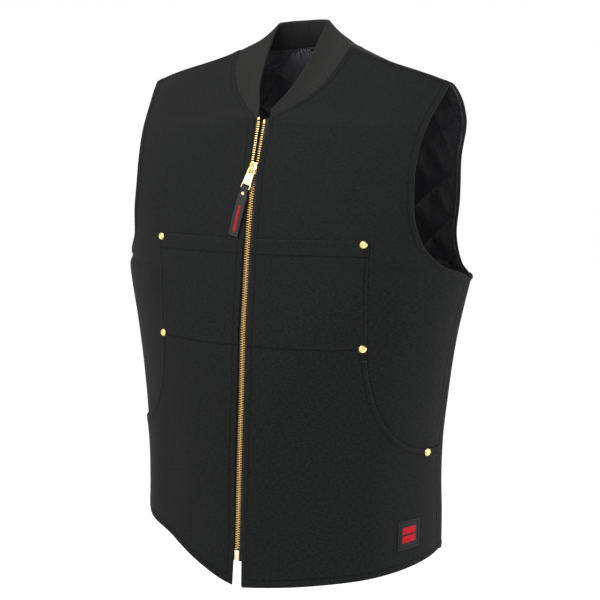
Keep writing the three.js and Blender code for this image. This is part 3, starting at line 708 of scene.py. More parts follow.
def triangles_of(outline: Array, inside: Array) -> tuple[Array, Array]:
    """Triangulates the points inside a flat outline.

    Args:
        outline: Corners of the outline in order, anticlockwise.
        inside: Points inside it.

    Returns:
        All points, with the outline's first, and the triangles.
    """
    points = [Vector(p) for p in np.concatenate([outline, inside])]
    ring = [(i, (i + 1) % len(outline)) for i in range(len(outline))]
    places, _, faces, *_ = delaunay_2d_cdt(points, ring, [], 1, 1e-6)
    flat = np.array([p[:] for p in places])
    corners = np.array(faces)
    a, b, c = (flat[corners[:, k]] for k in range(3))
    turn = (b - a)[:, 0] * (c - a)[:, 1] - (b - a)[:, 1] * (c - a)[:, 0]
    corners[turn < 0] = corners[turn < 0][:, ::-1]
    return flat, corners[np.abs(turn) > 1e-9]


def distance_to(points: Array, path: Array) -> tuple[Array, Array]:
    """Distance from flat points to a path, and how far along it they are.

    Args:
        points: Places on the flat cut.
        path: Corners of an open path on it.

    Returns:
        Distances, and lengths along the path.
    """
    start = path[:-1]
    step = np.diff(path, axis=0)
    length = np.maximum(np.linalg.norm(step, axis=1), 1e-9)
    before = np.concatenate([[0.0], np.cumsum(length)[:-1]])
    best = np.full(len(points), np.inf)
    along = np.zeros(len(points))
    for origin, way, size, run in zip(start, step, length, before):
        share = np.clip(((points - origin) @ way) / size**2, 0, 1)
        gap = np.linalg.norm(points - origin - share[:, None] * way, axis=1)
        nearer = gap < best
        best = np.where(nearer, gap, best)
        along = np.where(nearer, run + share * size, along)
    return best, along


def within(points: Array, outline: Array) -> Array:
    """True for the flat points inside an outline."""
    inside = np.zeros(len(points), bool)
    x, y = points[:, 0], points[:, 1]
    for (x0, y0), (x1, y1) in zip(outline, np.roll(outline, -1, axis=0)):
        crosses = (y0 > y) != (y1 > y)
        if y0 != y1:
            inside ^= crosses & (x < (x1 - x0) * (y - y0) / (y1 - y0) + x0)
    return inside


def evenly(path: Array, pitch: float) -> Array:
    """Points along a path at about a pitch, with both of its ends."""
    run = lengths_along(path)
    places = np.linspace(0, run[-1], max(2, int(round(run[-1] / pitch)) + 1))
    return points_along(places, run, path)


def leftward(path: Array) -> Array:
    """Unit directions to the left of a flat path at each of its points."""
    step = np.gradient(path, axis=0)
    return unit(np.stack([-step[:, 1], step[:, 0]], 1))


def facing(points: Array, faces: Array, normals: Array) -> Array:
    """Faces of a sheet, all turned round if they look against its normals.

    Args:
        points: Points of the sheet.
        faces: Its faces.
        normals: Normals at the points.

    Returns:
        The faces.
    """
    a, b, c = (points[faces[:, k]] for k in range(3))
    against = (np.cross(b - a, c - a) * normals[faces[:, 0]]).sum() < 0
    return faces[:, ::-1] if against else faces


def srgb(hex_code: str) -> tuple[float, float, float, float]:
    """Linear colour, with alpha, of an sRGB hex value such as #2a2b2b."""
    shares = [int(hex_code[i:i + 2], 16) / 255 for i in (1, 3, 5)]
    linear = [s / 12.92 if s <= 0.04045 else ((s + 0.055) / 1.055) ** 2.4 for s in shares]
    return (*linear, 1.0)


# A wave texture of scale 1 has one band in this many metres.
WAVE_BAND = 0.314


def add_node(tree: bpy.types.NodeTree, kind: str, inputs: dict[str | int, Any], **settings: Any) -> Any:
    """Adds a node, with its settings and with each input linked or set.

    Args:
        tree: Node tree of the material.
        kind: Blender's name for the node, after ShaderNode.
        inputs: Value or source socket of each input that isn't left as it comes.
        settings: Attributes of the node.

    Returns:
        The node's outputs.
    """
    node = tree.nodes.new(f"ShaderNode{kind}")
    for name, value in settings.items():
        setattr(node, name, value)
    for key, value in inputs.items():
        if isinstance(value, bpy.types.NodeSocket):
            tree.links.new(value, node.inputs[key])
        else:
            node.inputs[key].default_value = value
    return node.outputs


@dataclass(frozen=True)
class Finish:
    """Base of every finish: a named material that is made once."""

    name: str = "finish"

    def material(self) -> bpy.types.Material:
        """The material, made at the first call."""
        found = bpy.data.materials.get(self.name)
        if found:
            return found
        material = bpy.data.materials.new(self.name)
        material.use_nodes = True
        tree = material.node_tree
        tree.nodes.clear()
        add = partial(add_node, tree)
        shader = add("BsdfPrincipled", self.sockets(add))
        add("OutputMaterial", {"Surface": shader["BSDF"]})
        return material

    def sockets(self, add: Callable[..., Any]) -> dict[str, Any]:
        """Adds the finish's pattern.

        Args:
            add: Function that adds a node to the material's tree.

        Returns:
            Value or source socket of each input of the shader.
        """
        return {}

    def dress(self, piece: bpy.types.Object) -> None:
        """Gives the material to a piece."""
        piece.data.materials.clear()
        piece.data.materials.append(self.material())


@dataclass(frozen=True)
class DuckCanvas(Finish):
    """Plain-woven cotton duck, piece-dyed black and washed: matt, slubby and dusty on its folds.

    Real duck has two threads a millimetre, drawn wider here to show.
    """

    name: str = "duck_canvas_black"
    shade_colour: str = "#070808"
    thread_colour: str = "#1c1d1d"
    # Paler colour of the rubbed fold lips, also used as painted light on the inner face.
    worn_colour: str = "#3c3b38"
    thread_mm: float = 1.6
    slub_mm: float = 5.0
    weave_mm: float = 0.8
    roughness: float = 0.92

    def sockets(self, add: Callable[..., Any]) -> dict[str, Any]:
        """Adds slubs and the weave on the flat cut, with rubbed lips, painted shade in the furrows and
        painted light on the inner face.
        """
        cut = add("UVMap", {}, uv_map="cloth")["UV"]
        wide, long = 1 / (self.thread_mm * MM), 1 / (self.slub_mm * MM)
        noise = {"Scale": 1.0, "Detail": 2.0, "Roughness": 0.65}
        weft_way = add("Mapping", {"Vector": cut, "Scale": (long, wide, 1)})
        warp_way = add("Mapping", {"Vector": cut, "Scale": (wide, long, 1)})
        weft = add("TexNoise", {"Vector": weft_way[0], **noise})["Fac"]
        warp = add("TexNoise", {"Vector": warp_way[0], **noise})["Fac"]
        slubs = add("Mix", {"Factor": 0.36, "A": weft, "B": warp})["Result"]
        bands = {"Vector": cut, "Scale": WAVE_BAND / (self.weave_mm * MM), "Distortion": 0.6, "Detail": 1.0}
        over = add("TexWave", bands, bands_direction="X")["Fac"]
        under = add("TexWave", bands, bands_direction="Y")["Fac"]
        weave = add("Math", {0: over, 1: under}, operation="MULTIPLY")[0]
        height = add("Mix", {"Factor": 0.3, "A": slubs, "B": weave})["Result"]
        tone = add("MapRange", {"Value": height, "From Min": 0.28, "From Max": 0.54})[0]
        threads = {"Factor": tone, "A": srgb(self.shade_colour), "B": srgb(self.thread_colour)}
        colour = add("Mix", threads, data_type="RGBA")["Result"]
        wear = add("Attribute", {}, attribute_name="wear")["Fac"]
        # Rub pales the fold lips, which is wear; on the canvas's inner face the same mix is painted light.
        rub = add("Math", {0: wear, 1: tone}, operation="MULTIPLY", use_clamp=True)[0]
        rub_and_light_mix = {"Factor": rub, "A": colour, "B": srgb(self.worn_colour)}
        rubbed_and_painted_light = add("Mix", rub_and_light_mix, data_type="RGBA")["Result"]
        # Painted shade: the stitched furrows are multiplied down to half their tone.
        painted_furrow_shade = {"Value": wear, "From Min": -0.6, "From Max": 0.0, "To Min": 0.5, "To Max": 1.0}
        furrow_shade_mix = {"Factor": 1.0, "A": rubbed_and_painted_light, "B": add("MapRange", painted_furrow_shade)[0]}
        return {
            "Base Color": add("Mix", furrow_shade_mix, data_type="RGBA", blend_type="MULTIPLY")["Result"],
            "Normal": add("Bump", {"Height": height, "Strength": 0.5, "Distance": 0.5 * MM})["Normal"],
            "Roughness": self.roughness,
            "IOR": 1.5,
            "Specular IOR Level": 0.09,
            "Sheen Weight": 0.04,
            "Sheen Roughness": 0.5,
            "Sheen Tint": srgb("#b8b4ac"),
        }


@dataclass(frozen=True)
class QuiltNylon(Finish):
    """Thin nylon taffeta over wadding: darker than the canvas, with a soft sheen along its puffs."""

    name: str = "quilt_nylon_black"
    colour: str = "#26262a"
    deep_colour: str = "#18181b"
    crease_mm: float = 9.0
    roughness: float = 0.44

    def sockets(self, add: Callable[..., Any]) -> dict[str, Any]:
        """Adds fine creases and painted shade along the stitched furrows."""
        cut = add("UVMap", {}, uv_map="cloth")["UV"]
        noise = {"Scale": 1 / (self.crease_mm * MM), "Detail": 5.0, "Roughness": 0.55, "Distortion": 1.2}
        creases = add("TexNoise", {"Vector": cut, **noise})["Fac"]
        wear = add("Attribute", {}, attribute_name="wear")["Fac"]
        # Painted shade: the colour darkens towards the stitched furrows.
        furrow = add("MapRange", {"Value": wear, "From Min": -0.6, "From Max": 0.0})[0]
        tones = {"Factor": furrow, "A": srgb(self.deep_colour), "B": srgb(self.colour)}
        return {
            "Base Color": add("Mix", tones, data_type="RGBA")["Result"],
            "Normal": add("Bump", {"Height": creases, "Strength": 0.35, "Distance": 1.0 * MM})["Normal"],
            "Roughness": self.roughness,
            "IOR": 1.53,
            "Specular IOR Level": 0.22,
        }


@dataclass(frozen=True)
class RibKnit(Finish):
    """Acrylic rib knit: fuzzy and matt, paler than the canvas, with loops along each rib."""

    name: str = "rib_knit_charcoal"
    colour: str = "#0d0d0d"
    high_colour: str = "#272726"
    loop_mm: float = 1.7
    roughness: float = 0.95

    def sockets(self, add: Callable[..., Any]) -> dict[str, Any]:
        """Adds the loops of the knit and painted shade in the grooves between ribs."""
        cut = add("UVMap", {}, uv_map="cloth")["UV"]
        wear = add("Attribute", {}, attribute_name="wear")["Fac"]
        noise = {"Scale": 1 / (self.loop_mm * MM), "Detail": 2.0, "Roughness": 0.6}
        loops = add("TexNoise", {"Vector": cut, **noise})["Fac"]
        # Painted shade: where the rib attribute is low, in the grooves, the colour goes to the darker tone.
        height = add("Math", {0: wear, 1: loops}, operation="MULTIPLY")[0]
        tone = add("MapRange", {"Value": height, "From Min": 0.0, "From Max": 0.6})[0]
        tones = {"Factor": tone, "A": srgb(self.colour), "B": srgb(self.high_colour)}
        return {
            "Base Color": add("Mix", tones, data_type="RGBA")["Result"],
            "Normal": add("Bump", {"Height": loops, "Strength": 0.5, "Distance": 0.5 * MM})["Normal"],
            "Roughness": self.roughness,
            "IOR": 1.5,
            "Specular IOR Level": 0.15,
            "Sheen Weight": 0.08,
            "Sheen Roughness": 0.45,
            "Sheen Tint": srgb("#b6b6b4"),
        }


@dataclass(frozen=True)
class WovenBand(Finish):
    """Narrow woven polyester: a dull twill, with optional bars of a second colour.

    The bars are boxes on the flat cut: low and high X, low and high Y, in millimetres.
    """

    name: str = "woven_polyester_black"
    colour: str = "#17181a"
    rib_mm: float = 1.4
    stripes: tuple[tuple[float, float, float, float], ...] = ()
    stripe_colour: str = "#c21f28"
    roughness: float = 0.7

    def sockets(self, add: Callable[..., Any]) -> dict[str, Any]:
        """Adds the twill and the bars."""
        cut = add("UVMap", {}, uv_map="cloth")["UV"]
        bands = {"Vector": cut, "Scale": WAVE_BAND / (self.rib_mm * MM), "Distortion": 0.8, "Detail": 1.0}
        twill = add("TexWave", bands, bands_direction="DIAGONAL")["Fac"]
        tone = add("MapRange", {"Value": twill, "To Min": 0.7, "To Max": 1.25})[0]
        split = add("SeparateXYZ", {"Vector": cut})
        barred: Any = 0.0
        for number, (low_x, high_x, low_y, high_y) in enumerate(self.stripes):
            reach = []
            for axis, low, high in (("X", low_x, high_x), ("Y", low_y, high_y)):
                span = {0: split[axis], 1: (low + high) / 2 * MM, 2: (high - low) / 2 * MM}
                reach.append(add("Math", span, operation="COMPARE")[0])
            box = add("Math", dict(enumerate(reach)), operation="MULTIPLY")[0]
            barred = add("Math", {0: barred, 1: box}, operation="MAXIMUM")[0] if number else box
        bars = {"Factor": barred, "A": srgb(self.colour), "B": srgb(self.stripe_colour)}
        weave = {"Factor": 1.0, "A": add("Mix", bars, data_type="RGBA")["Result"], "B": tone}
        return {
            "Base Color": add("Mix", weave, data_type="RGBA", blend_type="MULTIPLY")["Result"],
            "Normal": add("Bump", {"Height": twill, "Strength": 0.4, "Distance": 0.3 * MM})["Normal"],
            "Roughness": self.roughness,
            "IOR": 1.55,
            "Specular IOR Level": 0.08,
        }


@dataclass(frozen=True)
class PolishedBrass(Finish):
    """Polished brass: pale yellow metal with fine rubbing marks that soften its reflections."""

    name: str = "polished_brass"
    colour: str = "#ffd98a"
    dull_colour: str = "#efb455"
    grain_mm: float = 2.2
    roughness: float = 0.27

    def sockets(self, add: Callable[..., Any]) -> dict[str, Any]:
        """Adds uneven polish on object coordinates."""
        place = add("TexCoord", {})["Object"]
        noise = {"Scale": 1 / (self.grain_mm * MM), "Detail": 4.0, "Roughness": 0.6}
        rubbing = add("TexNoise", {"Vector": place, **noise})["Fac"]
        tone = add("MapRange", {"Value": rubbing, "From Min": 0.3, "From Max": 0.62})[0]
        tones = {"Factor": tone, "A": srgb(self.dull_colour), "B": srgb(self.colour)}
        polish = {"Value": rubbing, "To Min": self.roughness + 0.1, "To Max": self.roughness - 0.08}
        return {
            "Base Color": add("Mix", tones, data_type="RGBA")["Result"],
            "Roughness": add("MapRange", polish)[0],
            "Normal": add("Bump", {"Height": rubbing, "Strength": 0.08, "Distance": 0.3 * MM})["Normal"],
            "Metallic": 1.0,
        }


@dataclass(frozen=True)
class StitchThread(Finish):
    """Bonded polyester thread: black, twisted, a little glossier than the cloth it holds."""

    name: str = "polyester_thread_black"
    colour: str = "#0b0b0b"
    twist_mm: float = 0.8
    roughness: float = 0.6

    def sockets(self, add: Callable[..., Any]) -> dict[str, Any]:
        """Adds the twist as fine diagonal bands on object coordinates."""
        place = add("TexCoord", {})["Object"]
        bands = {"Vector": place, "Scale": WAVE_BAND / (self.twist_mm * MM), "Distortion": 1.0}
        twist = add("TexWave", bands, bands_direction="DIAGONAL")["Fac"]
        tone = add("MapRange", {"Value": twist, "To Min": 0.75, "To Max": 1.2})[0]
        twisted = {"Factor": 1.0, "A": srgb(self.colour), "B": tone}
        return {
            "Base Color": add("Mix", twisted, data_type="RGBA", blend_type="MULTIPLY")["Result"],
            "Roughness": self.roughness,
            "IOR": 1.55,
            "Specular IOR Level": 0.12,
        }


@dataclass(frozen=True)
class StudioFloor(Finish):
    """Opal acrylic floor, lit from below: matt, near white, glowing a little to meet the white room."""

    name: str = "studio_floor_white"
    colour: str = "#f5f5f5"

    def sockets(self, add: Callable[..., Any]) -> dict[str, Any]:
        """Adds a faint unevenness."""
        place = add("TexCoord", {})["Object"]
        cloudy = add("TexNoise", {"Vector": place, "Scale": 3.0, "Detail": 2.0})["Fac"]
        tone = add("MapRange", {"Value": cloudy, "To Min": 0.98, "To Max": 1.0})[0]
        uneven = {"Factor": 1.0, "A": srgb(self.colour), "B": tone}
        return {
            "Base Color": add("Mix", uneven, data_type="RGBA", blend_type="MULTIPLY")["Result"],
            "Roughness": 0.9,
            "Specular IOR Level": 0.1,
            "Emission Color": srgb("#ffffff"),
            "Emission Strength": 0.1,
        }


CANVAS = DuckCanvas()
NYLON = QuiltNylon()
RIB = RibKnit()
BRASS = PolishedBrass()
# Painted light: a near-white copy of the brass for the box and the pull stands in for the brighter
# reflections they catch.
PAINTED_LIGHT_BRASS = PolishedBrass("polished_brass_bright", "#fff4da", "#f6e0ac", roughness=0.2)
PALE_BRASS = PolishedBrass("polished_brass_pale", "#f0dc96", "#d9bb66", roughness=0.25)
THREAD = StitchThread()
TAPE = WovenBand(name="zip_tape_polyester", colour="#242424")


def finish_piece(piece: bpy.types.Object, finish: Finish, body: Body, slot: Slot, *nodes: str) -> None:
    """Dresses a piece and ties it to the CAD part.

    Args:
        piece: New object, in place.
        finish: Its finish.
        body: CAD body it rides on.
        slot: Material slot of the record; not used.
        nodes: CAD nodes it stands for.
    """
    finish.dress(piece)
    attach(piece, body.value)
    if nodes:
        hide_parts(*nodes)
    faces = sum(len(p.vertices) - 2 for p in piece.data.polygons)
    log.info("%s: %d triangles, %s", piece.name, faces, finish.name)


@dataclass
class StitchRun:
    """Stitches along paths on cloth: each a short twisted bar that dips in at its ends."""

    pitch: float = 3.3
    length: float = 2.7
    radius: float = 0.42
    sides: int = 5
    sink: float = 0.12
    ring_places: tuple[float, ...] = (-0.5, -0.36, 0.0, 0.36, 0.5)
    ring_widths: tuple[float, ...] = (0.35, 0.85, 1.0, 0.85, 0.35)
    ring_drops: tuple[float, ...] = (-0.48, -0.09, 0.0, -0.09, -0.48)
    points: list[Array] = field(default_factory=list)
    faces: list[Array] = field(default_factory=list)
    count: int = 0

    def add(self, path: Array, normals: Array) -> None:
        """Lays stitches along a path.

        Args:
            path: Points on the cloth's outer face.
            normals: Normals there.
        """
        run = lengths_along(path)
        number = int(run[-1] / self.pitch)
        if number < 1:
            return
        middles = (np.arange(number) + 0.5) * (run[-1] / number)
        places = middles[:, None] + np.array(self.ring_places) * self.length
        spine = points_along(places, run, path)
        out = unit(points_along(places, run, normals))
        beside = unit(np.cross(unit(np.gradient(spine, axis=1)), out))
        rise = np.array(self.ring_drops) + self.radius - self.sink
        spine = spine + out * rise[:, None]
        angles = np.linspace(0, 2 * math.pi, self.sides, endpoint=False)[:, None]
        ring = np.cos(angles) * beside[:, :, None, :] + np.sin(angles) * out[:, :, None, :]
        points = spine[:, :, None, :] + ring * (self.radius * np.array(self.ring_widths))[:, None, None]
        self._keep(points.reshape(number, -1, 3))

    def _keep(self, points: Array) -> None:
        """Adds one block of stitches, each of some rings of points."""
        sides, rings = self.sides, len(self.ring_places)
        ring, spoke = np.meshgrid(np.arange(rings - 1), np.arange(sides), indexing="ij")
        a = ring * sides + spoke
        b = ring * sides + (spoke + 1) % sides
        quads = np.stack([a, a + sides, b + sides, b], -1).reshape(-1, 4)
        ends = []
        for first, turn in ((0, 1), ((rings - 1) * sides, -1)):
            loop = first + np.arange(sides)[::turn]
            ends += [(loop[0], loop[k], loop[k + 1], loop[k + 1]) for k in range(1, sides - 1)]
        shape = np.concatenate([quads, np.array(ends)])
        offsets = self.count + points.shape[1] * np.arange(len(points))
        self.faces.append((shape[None] + offsets[:, None, None]).reshape(-1, 4))
        self.points.append(points.reshape(-1, 3))
        self.count += points.shape[0] * points.shape[1]

    def build(self, name: str) -> None:
        """Joins all stitches into one piece."""
        faces = [tuple(dict.fromkeys(f)) for f in np.concatenate(self.faces).tolist()]
        mesh = new_mesh(name, np.concatenate(self.points), faces)
        mesh.shade_smooth()
        finish_piece(new_object(name, mesh), THREAD, Body.VEST, Slot.CANVAS)


@dataclass
class CanvasShell:
    """Two front panels and the back of duck canvas, sewn at the sides and shoulders."""

    fronts: dict[Side, PanelSurface]
    backs: dict[Side, PanelSurface]
    thickness: float = 1.3
    # Painted light: the inner face is mixed this far towards the paler rub colour, standing in for light on
    # the turned-in edges.
    inner_wear: float = 0.9
    edge_radius: float = 1.4
    fold: float = 0.35
    seam_width: float = 11.0
    shoulder_fold: float = 0.3
    shoulder_width: float = 9.0
    front_pitch: float = 4.2
    back_pitch: float = 4.8
    gauge_level: float = 4.0
    edge_stitch: Topstitch = Topstitch(8.0)
    seam_stitches: tuple[Topstitch, ...] = (Topstitch(3.1, depth=0.35), Topstitch(8.9))
    shoulder_stitch: Topstitch = Topstitch(7.0)
    pocket_top_level: float = 7.14
    mouth_end_level: float = 2.35
    facing_seam: tuple[tuple[float, float], ...] = ((214.5, -511.0), (223.6, -498.0))

    def edges(self, panel: PanelSurface, level: Array, arc: Array) -> list[Edge]:
        """Turned edges and seams of a panel at some places.

        Args:
            panel: Half panel.
            level: Levels of the places.
            arc: Arcs of the places.

        Returns:
            The edges, with each place's distance from them.
        """
        cut = panel.cut
        seed = 100 * panel.side.value + (1 if cut.is_front else 50) + 300
        from_hem = panel.from_hem(level, arc)
        across = panel.from_inner(level, arc)
        outer = panel.to_outer(level, arc)
        far = 1e3
        above_underarm = smoothstep(level, cut.underarm - 0.05, cut.underarm + 0.25)
        if cut.is_front:
            neck = across + far * (level < cut.corner)
            zip_edge = across + far * (level >= cut.corner)
            shoulder = (self.shoulder_fold, self.shoulder_width, (self.shoulder_stitch,))
        else:
            corner_up = panel.from_hem(np.full_like(level, cut.corner), 0 * arc)
            neck = np.hypot(across, np.maximum(0.0, corner_up - from_hem))
            zip_edge = across + far
            shoulder = ()
        plain = (self.edge_stitch,)
        seam = (self.fold, self.seam_width, self.seam_stitches)
        return [
            Edge(neck, level * 30, seed + 1, self.fold, stitches=plain),
            Edge(outer + far * (1 - above_underarm), from_hem, seed + 2, self.fold, stitches=plain),
            Edge(outer + far * above_underarm, from_hem, seed + 3, *seam),
            Edge(zip_edge, from_hem, seed + 4, self.fold, stitches=plain),
            Edge(from_hem, across, seed + 5, self.fold, stitches=plain),
            Edge(panel.to_shoulder(level, arc), across, seed + 6, *shoulder),
        ]

    def relief(self, panel: PanelSurface, level: Array, arc: Array) -> Relief:
        """Outer and inner face of the shell at some places of a panel.

        Args:
            panel: Half panel.
            level: Levels of the places.
            arc: Arcs of the places.

        Returns:
            The faces, the rub and the painted shade and light.
        """
        level, arc = np.broadcast_arrays(np.asarray(level, float), np.asarray(arc, float))
        edges = self.edges(panel, level, arc)
        height = self.thickness + sum(edge.height() for edge in edges)
        if panel.cut.is_front:
            under_pocket = smoothstep(self.pocket_top_level + 0.1 - level, 0.0, 0.2)
            past_pocket = smoothstep(panel.flat(level, arc)[..., 0], 175.0, 200.0)
            covered = under_pocket * (1 - past_pocket * smoothstep(level, 1.9, 2.6))
            height = lerp(height, np.minimum(height, self.thickness), covered)
        share = np.min([rounded(edge.distance, self.edge_radius) for edge in edges], axis=0)
        middle = self.thickness / 2
        # Rubbed lips, and painted shade in the stitched furrows.
        wear = np.clip(sum(edge.wear() for edge in edges), -0.6, 1.0)
        return Relief(middle + (height - middle) * share, middle * (1 - share), wear, self.inner_wear)

    def half(self, panel: PanelSurface, pitch: float) -> tuple[Array, Array, Array, Array, Relief]:
        """Sheet of a half panel, with closer rows at its edges.

        Args:
            panel: Half panel.
            pitch: Spacing away from the edges.

        Returns:
            Points, normals, quads, places on the flat cut, and the faces of the cloth.
        """
        rows = panel.level_at(spaced(panel.height, pitch, EDGE_STEPS, EDGE_STEPS[:-2]))
        rows[0], rows[-1] = 0.0, panel.top
        rows = np.unique(np.concatenate([rows, [float(panel.cut.corner)]]))
        shape = spaced(float(panel.width(np.array(self.gauge_level))), pitch, EDGE_STEPS, EDGE_STEPS)
        start, stop = len(EDGE_STEPS) - 1, len(shape) - len(EDGE_STEPS) + 1
        widths = panel.width(rows)[:, None]
        columns = np.repeat(shape[None, :], len(rows), 0)
        between = np.linspace(0, 1, stop - start)
        columns[:, start:stop] = lerp(EDGE_STEPS[-1], widths - EDGE_STEPS[-1], between)
        columns[:, stop:] = widths - EDGE_STEPS[::-1][1:]
        levels = np.repeat(rows[:, None], len(shape), 1)
        arcs = panel.arc_at(levels, columns)
        arcs[:, 0], arcs[:, -1] = 0.0, 1.0
        faces = grid_faces(*levels.shape, panel.outward)
        level, arc = levels.ravel(), arcs.ravel()
        return *panel.hung(level, arc), faces, panel.flat(level, arc), self.relief(panel, level, arc)

    def front(self, side: Side) -> None:
        """Makes one front panel."""
        *sheet, relief = self.half(self.fronts[side], self.front_pitch)
        piece = ClothMesh(*sheet).build(f"canvas_front_{side.word}", relief)
        finish_piece(piece, CANVAS, Body.VEST, Slot.CANVAS, f"shell_front_{side.word}")

    def back(self) -> None:
        """Makes the back panel, both halves in one."""
        blocks, count = [], 0
        for side, panel in self.backs.items():
            points, normals, faces, flat, relief = self.half(panel, self.back_pitch)
            flat = flat * np.array([side.value, 1])
            blocks.append((points, normals, faces + count, flat, relief.outer, relief.inner, relief.wear))
            count += len(points)
        points, normals, faces, flat, *parts = (np.concatenate(block) for block in zip(*blocks))
        keys = np.round(points * 1e2).astype(np.int64)
        _, first, index = np.unique(keys, axis=0, return_index=True, return_inverse=True)
        sheet = ClothMesh(points[first], normals[first], index.ravel()[faces], flat[first])
        piece = sheet.build("canvas_back", Relief(*(part[first] for part in parts), self.inner_wear))
        finish_piece(piece, CANVAS, Body.VEST, Slot.CANVAS, "shell_back")

    def outer_path(self, panel: PanelSurface, level: Array, arc: Array) -> tuple[Array, Array]:
        """Points on the shell's outer face along a path, and their normals."""
        points, normals = panel.hung(level, arc)
        return points + normals * self.relief(panel, level, arc).outer[:, None], normals

    def beside_edge(
        self, panel: PanelSurface, level: Array, inset: float, is_outer: bool,
    ) -> tuple[Array, Array]:
        """Path on the outer face beside an edge of a panel.

        Args:
            panel: Half panel.
            level: Levels along the edge.
            inset: Distance from the edge.
            is_outer: True for the outer edge, else the inner one.

        Returns:
            Points and normals.
        """
        across = panel.width(level) - inset if is_outer else inset + 0 * level
        return self.outer_path(panel, level, panel.arc_at(level, across))

    def stitch(self, panel: PanelSurface, run: StitchRun) -> None:
        """Lays the topstitching of a half panel.

        Args:
            panel: Half panel.
            run: Stitches to add to.
        """
        cut, inset = panel.cut, self.edge_stitch.inset
        top = panel.level_at(panel.height - self.shoulder_stitch.inset)
        run.add(*self.beside_edge(panel, np.linspace(cut.underarm + 0.15, top, 240), inset, True))
        run.add(*self.beside_edge(panel, np.linspace(cut.corner, top, 120), inset, False))
        low = 0.1
        if cut.is_front:
            low = self.mouth_end_level
            zip_line = np.linspace(self.pocket_top_level + 0.05, cut.corner - 0.02, 120)
            run.add(*self.beside_edge(panel, zip_line, inset, False))
            run.add(*self.outer_path(panel, np.full(80, top), np.linspace(0.05, 0.97, 80)))
            ends = [np.array(panel.place(x, z)) for x, z in self.facing_seam]
            line = lerp(*ends, np.linspace(0, 1, 20)[:, None])
            run.add(*self.outer_path(panel, line[:, 0], line[:, 1]))
        else:
            hem = panel.level_at(np.full(120, inset))
            run.add(*self.outer_path(panel, hem, np.linspace(0.0, 0.995, 120)))
        seam = np.linspace(low, cut.underarm - 0.06, 200)
        for stitch in self.seam_stitches:
            run.add(*self.beside_edge(panel, seam, stitch.inset, True))


